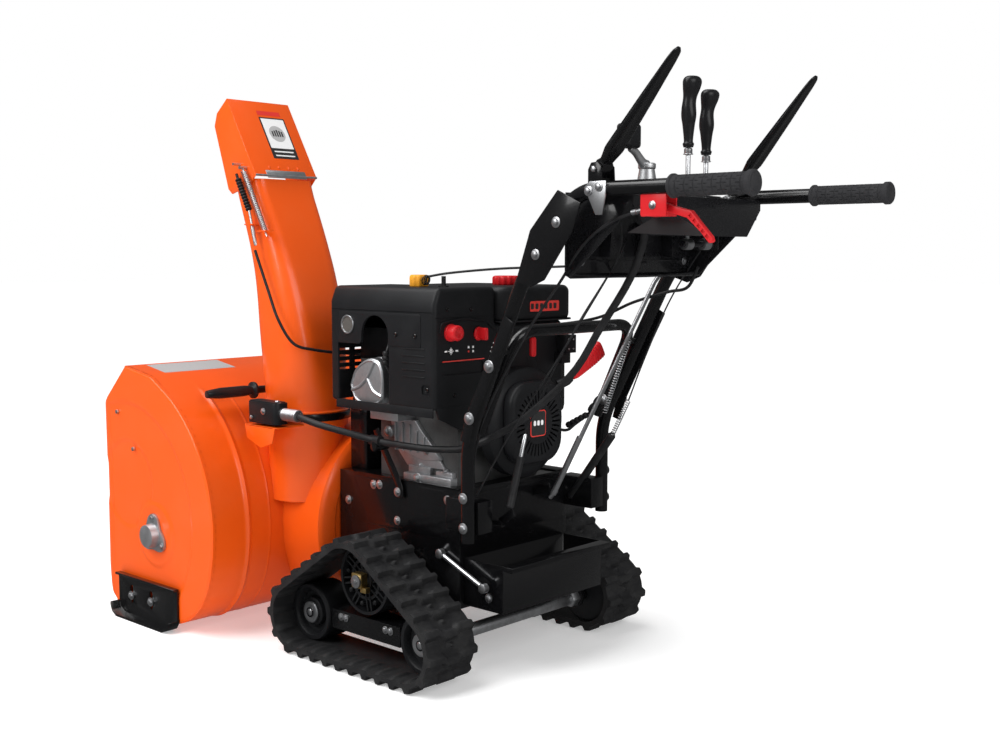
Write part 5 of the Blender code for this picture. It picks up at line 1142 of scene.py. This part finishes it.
wire = [(0.168, 0.07, 0.74), (0.14, 0.11, 0.748), (0.09, 0.19, 0.756), (0.04, 0.29, 0.76), (0.0, 0.38, 0.764),
    (-0.02, 0.44, 0.768)]
loops.append(tube(through(spots(wire), 60), 0.0022, 8))
post = [brick((0.15, 0.098, 0.722), (0.154, 0.106, 0.742)), brick((0.149, 0.092, 0.7215), (0.156, 0.112, 0.7245))]
build("control_wire", loops + post, CABLE, "chassis")
primer = [(0.1465, 0.016), (0.15, 0.016), (0.151, 0.0145), (0.166, 0.0142), (0.169, 0.013), (0.17, 0.01),
    (0.17, 0.007), (0.169, 0.006)]
build("choke_grip", [lathe(primer + [(0.169, 0.0001)], "y", (0.18, 0.64), 48)], RED_PLASTIC, "choke_body",
    "choke_knob", angle=50)
key = [lathe([(0.1465, 0.013), (0.15, 0.013), (0.1515, 0.0115), (0.1515, 0.0001)], "y", (0.106, 0.635), 40)]
key.append(slab(oblong((0.102, 0.6235), (0.11, 0.6465), 0.0035), "y", 0.15, 0.169))
build("key_grip", key, RED_PLASTIC, "key_body", "ignition_key", bevel=0.0012)
rocker_switch = [slab(oblong((-0.051, 0.583), (-0.037, 0.6215), 0.005), "y", 0.1465, 0.1545)]
build("throttle_grip", rocker_switch, RED_PLASTIC, "throttle_body", "throttle_lever", bevel=0.002, segments=3)
sockets = [brick((-0.139, 0.1462, 0.566), (-0.112, 0.168, 0.586)),
    brick((-0.152, 0.1462, 0.586), (-0.12, 0.172, 0.622))]
sockets += [brick((-0.06, 0.1462, 0.56), (-0.028, 0.148, 0.634)),
    brick((-0.135, 0.14, 0.505), (0.055, 0.1475, 0.646))]
build("starter_sockets", sockets, BLACK_PLASTIC, "chassis", bevel=0.0015)
studs = [lathe([(0.172, 0.0022), (0.173, 0.002), (0.173, 0.0001)], "y", (x, z), 12) for x in (-0.129,
    -0.143) for z in (0.594, 0.613)]
build("starter_studs", studs, ZINC, "chassis")


# %% Recoil starter
def wheel_slots(centre, inner, outer, width, count):
    """Narrow slots that stand like spokes round a centre, cut through along y."""
    shapes = []
    for k in range(count):
        a = 2 * math.pi * k / count
        c, s = math.cos(a), math.sin(a)
        corners = [(r * c - w * s, r * s + w * c) for r, w in ((inner, -width), (outer, -width), (outer, width),
            (inner, width))]
        shapes.append(slab(np.array(corners) + np.array(centre), "y", 0.196, 0.23))
    return shapes


FAN = (0.006, 0.462)
rim = [(0.1465, 0.106), (0.172, 0.106), (0.18, 0.098), (0.184, 0.086), (0.184, 0.0001)]
build("fan_cowl", [lathe(rim, "y", (0.0, 0.46), 72)], BLACK_PLASTIC, "chassis", "fan_housing", angle=40)
face = build("recoil_cover", [slab(oblong((-0.068, 0.384), (0.08, 0.542), 0.045, 10), "y", 0.182, 0.2095)],
    BLACK_PLASTIC, "chassis", bevel=0.01, segments=5)
carve(face, wheel_slots(FAN, 0.04, 0.063, 0.0018, 36))
badge = [slab(oblong((-0.014, 0.437), (0.03, 0.487), 0.006), "y", 0.2095, 0.2107)]
build("recoil_badge_rim", badge, LABEL_RED, "chassis", bevel=0.0004)
badge = [slab(oblong((-0.012, 0.439), (0.028, 0.485), 0.005), "y", 0.2107, 0.2111)]
build("recoil_badge", badge, LABEL_BLACK, "chassis")
badge = [slab(oblong((x, 0.458), (x + 0.007, 0.468), 0.003), "y", 0.2111, 0.2113) for x in (-0.006, 0.0045, 0.015)]
build("recoil_badge_marks", badge, LABEL_WHITE, "chassis")
PULL_FOOT, PULL_END = np.array([-0.08, 0.222, 0.544]), np.array([-0.166, 0.222, 0.5956])
pull = unit(PULL_END - PULL_FOOT)
across, thick = np.array([0.0, 1.0, 0.0]), np.cross(pull, [0.0, 1.0, 0.0])
share = np.linspace(0, 1, 61)[:, None]
wide = np.interp(share, [0, 0.1, 0.3, 0.7, 1.0], [0.0045, 0.008, 0.011, 0.016, 0.0175])
ribbed = 1 + 0.06 * np.sin(share * 2 * np.pi * 14) * step(share, 0.4, 0.5)
deep = np.interp(share, [0, 0.2, 1.0], [0.0045, 0.007, 0.0078])
turn = np.linspace(0, 2 * np.pi, 32, endpoint=False)[None]
c, s = blunt(np.cos(turn), 0.6), blunt(np.sin(turn), 0.6)
centre = (PULL_FOOT + (PULL_END - PULL_FOOT) * share)[:, None]
grip = centre + (c * wide * ribbed)[..., None] * thick + (s * deep * ribbed)[..., None] * across
grip = spot(grip[..., 0], grip[..., 1], grip[..., 2])
build("pull_grip", [skin(grip)], RED_PLASTIC, "recoil_body", "recoil_handle", angle=50)
guide = [turned_between(spot(-0.056, 0.205, 0.53), spot(-0.079, 0.221, 0.5432),
    [(0, 0.01), (0.7, 0.0095), (1, 0.006)], 20)]
build("rope_guide", guide, BLACK_PLASTIC, "chassis")
guard = [brick((-0.2165, y, 0.462), (-0.212, y + 0.01, 0.588)) for y in np.linspace(-0.098, 0.068, 9)]
guard += [brick((-0.218, -0.104, z), (-0.214, 0.084, z + 0.008)) for z in (0.458, 0.584)]
build("muffler_guard", guard, BLACK_PAINT, "chassis", bevel=0.001)

# %% [markdown]
# ## Handlebars and their plates
# Each handle is one bent tube. Flat plates clamp the dash and the hoop to it, and carry the clutch levers.
# A plate is an outline in the y-z plane, given a thickness across x and a small bevel.


# %% Handles, hoop and plates
def limb(line, width):
    """An outline that keeps width/2 to each side of a line of (y, z) points."""
    line = np.asarray(line, float)
    ahead = unit(np.gradient(line, axis=0))
    side = np.stack([-ahead[:, 1], ahead[:, 0]], axis=1) * width / 2
    return np.vstack([line + side, (line - side)[::-1]])


def make_handle(word, side):
    """The bent tube, then its plates from the top down, then their bolts."""
    line = [(0.195, 0.205, 0.262), (0.195, 0.205, 0.448), (0.211, 0.356, 0.75), (0.215, 0.472, 0.885),
        (0.215, 0.797, 0.885)]
    line = rounded_path(spot(*(np.array(line) * [side, 1, 1]).T), 0.045, 10)
    pole = [tube(line, 0.0125, 28)]
    build(f"handle_pole_{word}", pole, BLACK_PAINT, "chassis", f"handle_{word}")
    place = side * 0.2085
    cheeks = [plate([(0.502, 0.888), (0.53, 0.888), (0.528, 0.92), (0.52, 0.9275), (0.508, 0.9265), (0.502, 0.916)],
        "x", place + k, 0.0014) for k in (-0.0165, 0.0165)]
    cheeks.append(brick((place - 0.0165, 0.506, 0.897), (place + 0.0165, 0.526, 0.8992)))
    build(f"clutch_cheeks_{word}", cheeks, BLACK_PAINT, "chassis", bevel=0.0007)
    outer = side * 0.2285
    wing = [(0.508, 0.897), (0.54, 0.897), (0.54, 0.874), (0.533, 0.844), (0.52, 0.844), (0.497, 0.888)]
    build(f"clutch_side_plate_{word}", [plate(wing, "x", outer, 0.0012)], ZINC, "chassis", bevel=0.0006)
    clamp = [(0.352, 0.738), (0.383, 0.822), (0.442, 0.886), (0.49, 0.864), (0.472, 0.818), (0.414, 0.74),
        (0.384, 0.728)]
    build(f"handle_clamp_{word}", [plate(clamp, "x", outer, 0.0015)], BLACK_PAINT, "chassis", bevel=0.001)
    strap = limb([(0.222, 0.45), (0.235, 0.494), (0.285, 0.589), (0.33, 0.672)], 0.02)
    build(f"hoop_strap_{word}", [plate(strap, "x", side * 0.2205, 0.0015)], BLACK_PAINT, "chassis", bevel=0.001)
    heads = []
    for place, out, size in (
        ((0.396, 0.782), 0.23, 0.0058), ((0.44, 0.834), 0.23, 0.0058), ((0.235, 0.494), 0.222, 0.0072),
        ((0.283, 0.589), 0.222, 0.0072), ((0.506, 0.882), 0.2297, 0.005), ((0.527, 0.888), 0.2297, 0.005),
    ):
        heads += bolt(place, "x", side * out, side, size)
    heads += bolt((0.515, 0.916), "x", side * 0.2264, side, 0.005, False)
    for place in ((0.205, 0.29), (0.205, 0.345)):
        heads += bolt(place, "x", side * 0.2075, side, 0.0065)
    build(f"handle_bolts_{word}", heads, ZINC, "chassis")


for word, side in SIDES:
    make_handle(word, side)
hoop = [(-0.1695, 0.212, 0.463), (-0.1695, 0.2998, 0.648), (0.1695, 0.2998, 0.648), (0.1695, 0.212, 0.463)]
hoop = rounded_path(spots(hoop), 0.05, 12)
hoop = [tube(hoop, 0.011, 24)]
for side in (-1, 1):
    hoop += [lathe([(side * 0.172, 0.0065), (side * 0.206, 0.0065)], "x", p, 16) for p in ((0.235, 0.512),
        (0.283, 0.612))]
build("hoop_tube", hoop, BLACK_PAINT, "chassis", "cross_tube")

# %% [markdown]
# ## Grips, levers and the crank
# The grips are foam with a moulded pattern: the radius of a turned tube dips along rings and short rows.
# The shift grips swell to suit a palm, so their section is an oval whose two half-widths change with height.


# %% Grips
def make_grip(word, side):
    """Radius = 16.5 mm, less 1.3 mm in ring grooves and in staggered rows of short grooves."""
    along = np.linspace(0, 1, 281)[:, None]
    turn = np.linspace(0, 2 * np.pi, 96, endpoint=False)[None, :]
    y = 0.6552 + 0.1448 * along
    cell = along * 9.0
    ringed = step(np.abs(cell - np.round(cell)), 0.1, 0.04)
    stagger = (np.floor(cell + 0.5) % 2) * 0.5
    around = turn / (2 * np.pi) * 10 + stagger
    rows = step(np.abs(around - np.round(around)), 0.09, 0.05)
    body = step(along, 0.06, 0.1) * step(along, 0.93, 0.89)
    radius = 0.0165 - 0.0013 * np.maximum(ringed, rows) * body
    radius = radius + 0.0022 * step(along, 0.045, 0.035) + 0.0026 * step(along, 0.925, 0.94)
    radius = radius - 0.0018 * step(along, 0.985, 1.0) - 0.0012 * step(along, 0.012, 0.0)
    x, z = side * 0.215 + radius * np.cos(turn), 0.885 + radius * np.sin(turn)
    face = [(0.8, 0.015), (0.8006, 0.014), (0.7996, 0.012), (0.7996, 0.004), (0.7975, 0.0035), (0.7975, 0.0001)]
    shapes = [skin(spot(x, y + 0 * turn, z)), lathe([(0.795, 0.015)] + face, "y", (side * 0.215, 0.885), 40)]
    build(f"grip_foam_{word}", shapes, FOAM, "chassis", f"grip_{word}", angle=60)


for word, side in SIDES:
    make_grip(word, side)


# %% Clutch levers
CLUTCH_PIVOT, CLUTCH_RISE = (0.208, 0.515, 0.916), math.radians(50)


def on_lever(side, along, across, offset):
    """A point on a clutch lever: along it from its pivot, across its blade (x), and off its back."""
    c, s = math.cos(CLUTCH_RISE), math.sin(CLUTCH_RISE)
    x, y, z = CLUTCH_PIVOT
    return spot(side * x + across, y + along * c - offset * s, z + along * s + offset * c)


def make_clutch_blade(word, side):
    """An oval section, made squarer, that narrows to the tip, with a shallow groove along its back."""
    s = np.linspace(0.0, 1.0, 40)[:, None]
    half = np.interp(s, [0, 0.06, 0.16, 0.9, 0.97, 1.0], [0.0125, 0.013, 0.02, 0.0125, 0.0105, 0.003])
    fold = np.interp(s, [0, 0.16, 0.6, 1.0], [0.006, 0.0085, 0.006, 0.002])
    turn = np.linspace(0.0, 2 * np.pi, 32, endpoint=False)[None, :]
    across = half * blunt(np.cos(turn), 0.55)
    thick = fold * blunt(np.sin(turn), 0.75)
    groove = 0.3 * fold * np.exp(-((across / (0.42 * half)) ** 2)) * step(s, 0.05, 0.12) * step(s, 0.92, 0.85)
    shapes = [skin(on_lever(side, 0.004 + 0.223 * s + 0 * turn, across, thick - np.sign(thick) * groove + 0.001))]
    foot = np.array([(-0.0095, -0.0085), (0.012, -0.0085), (0.02, 0.004), (0.012, 0.0085), (-0.0095, 0.0085)])
    offset = np.array([-0.0135, 0.0135])[:, None]
    faces = slab(foot, "x", 0, 1)[1]
    shapes.append((on_lever(side, foot[None, :, 0], offset, foot[None, :, 1]).reshape(-1, 3), faces))
    build(f"clutch_blade_{word}", shapes, BLACK_PAINT, f"clutch_{word}_body", f"clutch_lever_{word}", angle=70)


for word, side in SIDES:
    make_clutch_blade(word, side)


# %% Shift grips, rods and the crank
def palm_grip(name, x, low, high, body, node):
    """An oval section: half-widths across x and y, read from a few stations of height."""
    t = np.linspace(0, 1, 90)[:, None]
    turn = np.linspace(0, 2 * np.pi, 48, endpoint=False)[None, :]
    wide = [(0, 0.0085), (0.05, 0.01), (0.09, 0.008), (0.3, 0.0108), (0.52, 0.013), (0.7, 0.013), (0.84, 0.0185)]
    deep = [(0, 0.0085), (0.05, 0.01), (0.09, 0.008), (0.3, 0.0105), (0.45, 0.0135), (0.66, 0.0112), (0.84, 0.014)]
    wide = through(wide + [(0.93, 0.0195), (0.985, 0.013), (1.0, 0.0004)], 200)
    deep = through(deep + [(0.93, 0.0145), (0.985, 0.01), (1.0, 0.0004)], 200)
    across, along = np.interp(t, *wide.T), np.interp(t, *deep.T)
    lean = 0.004 * step(t, 0.55, 0.95)
    points = spot(x - lean + across * np.cos(turn), 0.5 + lean + along * np.sin(turn),
        low + (high - low) * t + 0 * turn)
    build(name + "_grip", [skin(points)], KNOB_BLACK, body, node, angle=60)
    steel = [lathe([(0.808, 0.0042), (low + 0.006, 0.0042)], "z", (x, 0.5), 18)]
    steel += [lathe([(low - 0.011, 0.0075), (low - 0.003, 0.0075), (low - 0.0012, 0.006)], "z", (x, 0.5), 6)]
    steel += [lathe([(low - 0.0125, 0.0088), (low - 0.011, 0.0088)], "z", (x, 0.5), 24)]
    steel += [lathe([(x - 0.01, 0.01), (x + 0.01, 0.01)], "x", (0.5, 0.8), 28)]
    build(name + "_steel", steel, ZINC, body, bevel=0.0005)


palm_grip("speed", -0.055, 0.968, 1.091, "speed_lever_body", "speed_lever")
palm_grip("deflector", -0.111, 0.958, 1.073, "deflector_lever_body", "deflector_lever")
SATIN = plated("satin_aluminium", (0.74, 0.75, 0.76), (0.6, 0.61, 0.62), 0.32, 500.0)
CRANK_AXIS = (0.066, 0.5)
cone = [lathe([(0.8872, 0.0185), (0.89, 0.019), (0.924, 0.013), (0.926, 0.015), (0.933, 0.015), (0.9345, 0.0125)],
    "z", CRANK_AXIS, 36)]
arm = through(spots([(0.066, 0.5, 0.93), (0.078, 0.5, 0.934), (0.098, 0.5, 0.95), (0.114, 0.5, 0.957)]), 30)
cone.append(tube(arm, np.linspace(0.0095, 0.0065, 30), 16, 0.7))
build("crank_arm", cone, SATIN, "crank_body", "chute_crank", bevel=0.0006)
knob = [slab(oblong((0.096, 0.486), (0.138, 0.514), 0.01, 6), "z", 0.956, 0.996)]
build("crank_knob", knob, BLACK_PLASTIC, "crank_body", bevel=0.006, segments=4)

# %% Dash
dash = dress("dash_panel", BLACK_PLASTIC)
REBUILT.add("dash_panel")
DASH_PAINT = painted("dash_coat", (0.006, 0.006, 0.007), (0.02, 0.02, 0.02), 0.2, 0.4)
dash.data.materials[0] = DASH_PAINT
for side in (-1, 1):
    carve(dash, [slab(np.array([(side * 0.195, 0.866), (side * 0.195, 0.8), (side * 0.135, 0.8)]), "y", 0.545, 0.6)])
lip = [tube(spot(np.linspace(-0.189, 0.189, 40), np.full(40, 0.4345), 0.7445 + 0.004 * np.linspace(-1, 1, 40) ** 2),
    0.003, 10)]
lip += [brick((-0.15, 0.428, 0.77), (0.15, 0.43, 0.773)), brick((-0.15, 0.428, 0.86), (0.15, 0.43, 0.863))]
lip += [plate([(0.4285, 0.778), (0.452, 0.778), (0.452, 0.826), (0.4285, 0.838)], "x", x, 0.0012) for x in (-0.08,
    0.0, 0.1)]
lip += [plate([(0.425, 0.884), (0.56, 0.876), (0.562, 0.864), (0.528, 0.826), (0.438, 0.745), (0.426, 0.748)], "x",
    side * 0.188, 0.0012) for side in (-1, 1)]
build("dash_ribs", lip, DASH_PAINT, "chassis", bevel=0.0005)
flap = [slab([(0.552, 0.816), (0.6, 0.838), (0.655, 0.836), (0.705, 0.812), (0.69, 0.81)], "x", 0.187, 0.189)]
build("dash_flap", flap, moulded("flap_plastic", (0.02, 0.017, 0.018), (0.035, 0.032, 0.033), 0.5, 900.0, 0.1),
    "chassis", bevel=0.0004)
for lever, x, low, high in (("speed", -0.055, 0.45, 0.552), ("deflector", -0.111, 0.45, 0.526)):
    points, faces = slab(oblong((x - 0.013, low), (x + 0.013, high), 0.006), "z", 0.8905, 0.8925)
    points[:, 2] -= (points[:, 1] - spot(0, 0.45, 0)[..., 1]) * 0.104 + 0.0005
    rim = build(f"slot_rim_{lever}", [(points, faces)], BLACK_PLASTIC, "chassis")
    carve(rim, [slab(oblong((x - 0.0065, low + 0.003), (x + 0.0065, high - 0.003), 0.003), "z", 0.86, 0.91)])
crank_ring = [lathe([(0.8858, 0.027), (0.8868, 0.0262), (0.8868, 0.0075)], "z", CRANK_AXIS, 36)]
build("crank_seat", crank_ring, BLACK_PLASTIC, "chassis")
dash_bolts = []
for side in (-1, 1):
    dash_bolts += bolt((side * 0.15, 0.52), "z", 0.883, 1, 0.0045) + bolt((side * 0.165, 0.46), "z", 0.8892, 1,
        0.0045)
    dash_bolts += bolt((side * 0.15, 0.77), "y", 0.429, 1, 0.0045)
build("dash_bolts", dash_bolts, ZINC, "chassis")

# %% Trigger
red = [plate([(0.6, 0.874), (0.648, 0.874), (0.648, 0.84), (0.602, 0.84), (0.6, 0.843)], "x", x,
    0.0015) for x in (0.1915, 0.2185)]
red += [brick((0.193, 0.601, 0.842), (0.217, 0.6035, 0.8725))]
build("trigger_bracket", red, RED_PLASTIC, "chassis", bevel=0.001)
edge = [(0.628, 0.848), (0.65, 0.844), (0.676, 0.837), (0.7, 0.816), (0.716, 0.7985)]
edge += [(0.7225, 0.801), (0.7205, 0.8085), (0.7, 0.83), (0.684, 0.848), (0.655, 0.855), (0.628, 0.864)]
trigger = build("trigger_blade", [slab(edge, "x", 0.1958, 0.2062)], RED_PLASTIC, "trigger_body", "tilt_trigger",
    bevel=0.0022, segments=3)
cells = []
for k in range(5):
    y, z = 0.679 + 0.0075 * k, 0.8375 - 0.0078 * k
    cells.append(slab([(y, z + 0.003), (y + 0.0045, z - 0.0012), (y + 0.0085, z + 0.0022), (y + 0.004, z + 0.0068)],
        "x", 0.204, 0.21))
carve(trigger, cells)
hinge_pin = bolt((0.623, 0.857), "x", 0.22, 1, 0.0042) + [lathe([(0.19, 0.003), (0.221, 0.003)], "x", (0.623, 0.857),
    12)]
hinge_pin.append(turned_between(spot(0.205, 0.604, 0.852), spot(0.205, 0.574, 0.847),
    [(0, 0.005), (0.3, 0.005), (0.31, 0.0034), (0.7, 0.0034), (0.71, 0.0045), (1, 0.0045)], 14))
build("trigger_hardware", hinge_pin, ZINC, "chassis")

# %% [markdown]
# ## Rods, springs and cables
# Control cables are thin sheathed wires on smooth routes, and the clutch cables end in sprung sleeves.

# %% Cables of the left side, the drive's rod and the sleeves
wires = []
for line, r in (
    ([(0.205, 0.575, 0.847), (0.2, 0.52, 0.83), (0.19, 0.462, 0.795), (0.186, 0.415, 0.74), (0.183, 0.33, 0.64),
        (0.178, 0.235, 0.5), (0.172, 0.19, 0.38), (0.165, 0.168, 0.3)], 0.0025),
    ([(0.172, 0.205, 0.346), (0.14, 0.265, 0.47), (0.1, 0.345, 0.61), (0.07, 0.43, 0.755), (0.066, 0.455, 0.8)],
        0.0017),
    ([(0.08, 0.24, 0.452), (0.078, 0.29, 0.545), (0.074, 0.36, 0.66), (0.072, 0.44, 0.77), (0.11, 0.48, 0.83),
        (0.2, 0.512, 0.89)], 0.0015),
    ([(-0.15, 0.305, 0.5), (-0.15, 0.345, 0.59), (-0.152, 0.4, 0.7), (-0.17, 0.46, 0.8), (-0.2, 0.51, 0.89)], 0.0015),
    ([(-0.047, 0.2, 0.447), (-0.1, 0.19, 0.436), (-0.15, 0.17, 0.44), (-0.168, 0.205, 0.475), (-0.176, 0.25, 0.54)],
        0.003),
):
    wires.append(tube(through(spots(line), 70), r, 8))
wires += [turned_between(spot(-0.15, 0.15, 0.436), spot(-0.16, 0.195, 0.462), bead_profile(5, 0.0045, 0.0065), 14)]
wires += [turned_between(spot(-0.165, 0.198, 0.468), spot(-0.172, 0.232, 0.512), bead_profile(3, 0.006, 0.008), 14)]
build("control_cables", wires, CABLE, "chassis", angle=60)
sleeves = [turned_between(spot(0.091, 0.24, 0.411), spot(0.121, 0.24, 0.32),
    [(0, 0.0055), (0.02, 0.0072), (0.98, 0.0072), (1, 0.0055)], 20)]
sleeves.append(turned_between(spot(-0.15, 0.267, 0.43), spot(-0.15, 0.16, 0.29),
    [(0, 0.006), (0.02, 0.0082), (0.98, 0.0082), (1, 0.006)], 20))
build("spring_sleeves", sleeves, CABLE, "chassis")
rods = [tube(spots([(-0.05, 0.191, 0.307), (-0.054, 0.2, 0.32), (-0.146, 0.366, 0.73), (-0.15, 0.375, 0.744)]),
    0.0042, 14)]
rods.append(pin(spot(-0.078, 0.243, 0.43), spot(-0.052, 0.197, 0.315), 0.006, 16))
rods.append(turned_between(spot(0.078, 0.24, 0.452), spot(0.092, 0.24, 0.408),
    [(0, 0.003), (0.1, 0.0042), (1, 0.0042)], 14))
rods.append(coil(spot(-0.15, 0.267, 0.43), spot(-0.15, 0.305, 0.5), 0.0042, 0.0011, 16))
rods.append(coil(spot(-0.165, 0.235, 0.47), spot(-0.15, 0.305, 0.62), 0.0048, 0.001, 30))
rods.append(tube(spots([(0.1605, 0.1, 0.219), (0.1605, 0.212, 0.172)]), 0.0045, 14))
for y, z in ((0.1, 0.219), (0.212, 0.172)):
    rods.append(lathe([(0.156, 0.009), (0.1665, 0.009), (0.1675, 0.007)], "x", (y, z), 20))
rods += bolt((0.25, 0.499), "x", -0.14, 1, 0.007)
build("control_rods", rods, ZINC, "chassis", angle=50)
stay = limb([(-0.078, 0.44), (-0.066, 0.418), (-0.046, 0.388), (-0.024, 0.356), (-0.01, 0.33), (-0.008, 0.312)],
    0.017)
stays = [slab(stay, "x", 0.161, 0.164), slab(limb([(0.106, 0.29), (0.15, 0.318), (0.192, 0.328)], 0.018), "x", -0.052,
    -0.048)]
stays += [slab(limb([(0.214, 0.289), (0.23, 0.3), (0.246, 0.312)], 0.016), "x", 0.115, 0.119),
    brick((0.112, 0.144, 0.28), (0.122, 0.22, 0.29))]
stays += [lathe([(0.164, 0.009), (0.2, 0.009)], "x", (-0.045, 0.412), 18)]
build("cable_stays", stays, BLACK_PAINT, "chassis", bevel=0.001)
ferrule = [tube(spot(np.full(3, 0.19), np.linspace(-0.062, -0.034, 3), 0.4232), 0.0098, 16)]
build("cable_clip", ferrule, CABLE, "chassis")

# %% Frame bolts and tray hardware
frame_bolts = []
for side in (-1, 1):
    for p in ((-0.095, 0.326), (-0.077, 0.328), (-0.016, 0.322), (0.113, 0.322), (0.137, 0.289), (-0.172, 0.285),
        (-0.026, 0.263)):
        lift = 0.164 if side > 0 and p[0] == -0.016 else 0.1552
        frame_bolts += bolt(p, "x", side * lift, side, 0.0058)
    frame_bolts += bolt((0.21, 0.15), "x", side * 0.1452, side, 0.0055)
frame_bolts += [s for x in (-0.12, 0.12) for s in bolt((x, 0.305), "y", 0.1452, 1, 0.0055)]
build("frame_bolts", frame_bolts, ZINC, "chassis")
trim = [brick((-0.158, -0.198, 0.345), (-0.124, 0.145, 0.3475)),
    brick((0.136, -0.145, 0.345), (0.158, 0.145, 0.3475))]
trim += [slab(oblong((-0.15, 0.25), (0.15, 0.335), 0.012), "y", 0.1448, 0.147)]
trim += [plate(oblong((-0.165, 0.245), (0.12, 0.338), 0.02), "x", side * 0.155, 0.0012) for side in (-1, 1)]
build("frame_plates", trim, BLACK_PAINT, "chassis", bevel=0.001)

# %% Dress what is left
for material, nodes in DRESSED.items():
    for node in nodes.split():
        dress(node, material)
left_over = set(frame["nodes"]) - REBUILT - set(" ".join(DRESSED.values()).split())
print("dressed, with none left over:", left_over)

# %% [markdown]
# ## Floor, light and camera
# A pale floor under a large soft key light from the camera's left, a fill, a top light, a soft sun and a pale world,
# as in a catalogue studio. The camera stands behind the operator's left shoulder.


# %% Stage
def plane(name, half, z, material):
    mesh = bpy.data.meshes.new(name)
    corners = [(-half, -half, z), (half, -half, z), (half, half, z), (-half, half, z)]
    mesh.from_pydata(corners, [], [(0, 1, 2, 3)])
    mesh.materials.append(material)
    obj = bpy.data.objects.new(name, mesh)
    bpy.context.scene.collection.objects.link(obj)
    obj.visible_glossy = False


FLOOR = Finish("studio_floor", (0.86, 0.86, 0.86), 0.55)
FLOOR.put("Emission Color", (1.0, 1.0, 1.0, 1.0))
FLOOR.put("Emission Strength", 0.34)
FLOOR.put("Roughness", 0.5 + FLOOR.noise(3.0) * 0.1)
plane("floor", 30.0, float(CAD_BOX[0][2]) - 0.0005, FLOOR.material)
SKY_SEEN, SKY_LIGHT, SKY_LESS_IN_GLOSS = 1.0, 0.27, 0.15
world = bpy.data.worlds.new("studio")
bpy.context.scene.world = world
world.use_nodes = True
sky = world.node_tree.nodes["Background"]
sky.inputs[0].default_value = (1.0, 1.0, 1.0, 1.0)
seen = world.node_tree.nodes.new("ShaderNodeLightPath").outputs
level = world.node_tree.nodes.new("ShaderNodeMapRange")
level.inputs[3].default_value, level.inputs[4].default_value = SKY_LIGHT, SKY_SEEN
dimmed = world.node_tree.nodes.new("ShaderNodeMath")
dimmed.operation = "MULTIPLY_ADD"
dimmed.inputs[1].default_value = -SKY_LESS_IN_GLOSS
world.node_tree.links.new(seen["Is Camera Ray"], level.inputs[0])
world.node_tree.links.new(seen["Is Glossy Ray"], dimmed.inputs[0])
world.node_tree.links.new(level.outputs[0], dimmed.inputs[2])
world.node_tree.links.new(dimmed.outputs[0], sky.inputs[1])


def softbox(name, spot, target, size, watts):
    """A square area light at spot that faces target."""
    light = bpy.data.lights.new(name, "AREA")
    light.size = size
    light.energy = watts
    obj = bpy.data.objects.new(name, light)
    obj.location = spot
    direction = np.array(target) - np.array(spot)
    yaw = math.atan2(direction[0], -direction[1])
    pitch = math.atan2(-direction[2], math.hypot(direction[0], direction[1]))
    obj.rotation_euler = (math.pi / 2 - pitch, 0.0, yaw + math.pi)
    bpy.context.scene.collection.objects.link(obj)


sun = bpy.data.lights.new("sun", "SUN")
sun.energy, sun.angle = 2.5, math.radians(50)
sun_object = bpy.data.objects.new("sun", sun)
sun_object.rotation_euler = (math.radians(18), math.radians(24), 0.0)
bpy.context.scene.collection.objects.link(sun_object)
softbox("key", (3.2, -0.6, 2.6), (0, 0, 0.5), 1.8, 60)
softbox("fill", (0.6, 3.6, 2.2), (0, 0, 0.5), 2.4, 62)
softbox("top", (0.0, -0.5, 3.4), (0, 0, 0.5), 2.0, 20)

# %% Camera
LENS_MM, SENSOR_MM = 44.91, 36.0
EYE = (1.787, 1.753 + AXLE_Y, 0.783)
LOOKS_DOWN, LOOKS_ROUND = 5.545, 132.7
camera_data = bpy.data.cameras.new("camera")
camera_data.lens, camera_data.sensor_width = LENS_MM, SENSOR_MM
camera = bpy.data.objects.new("camera", camera_data)
camera.location = EYE
camera.rotation_euler = (math.radians(90 - LOOKS_DOWN), 0.0, math.radians(LOOKS_ROUND))
bpy.context.scene.collection.objects.link(camera)
bpy.context.scene.camera = camera
bpy.context.scene.view_settings.view_transform = "Standard"
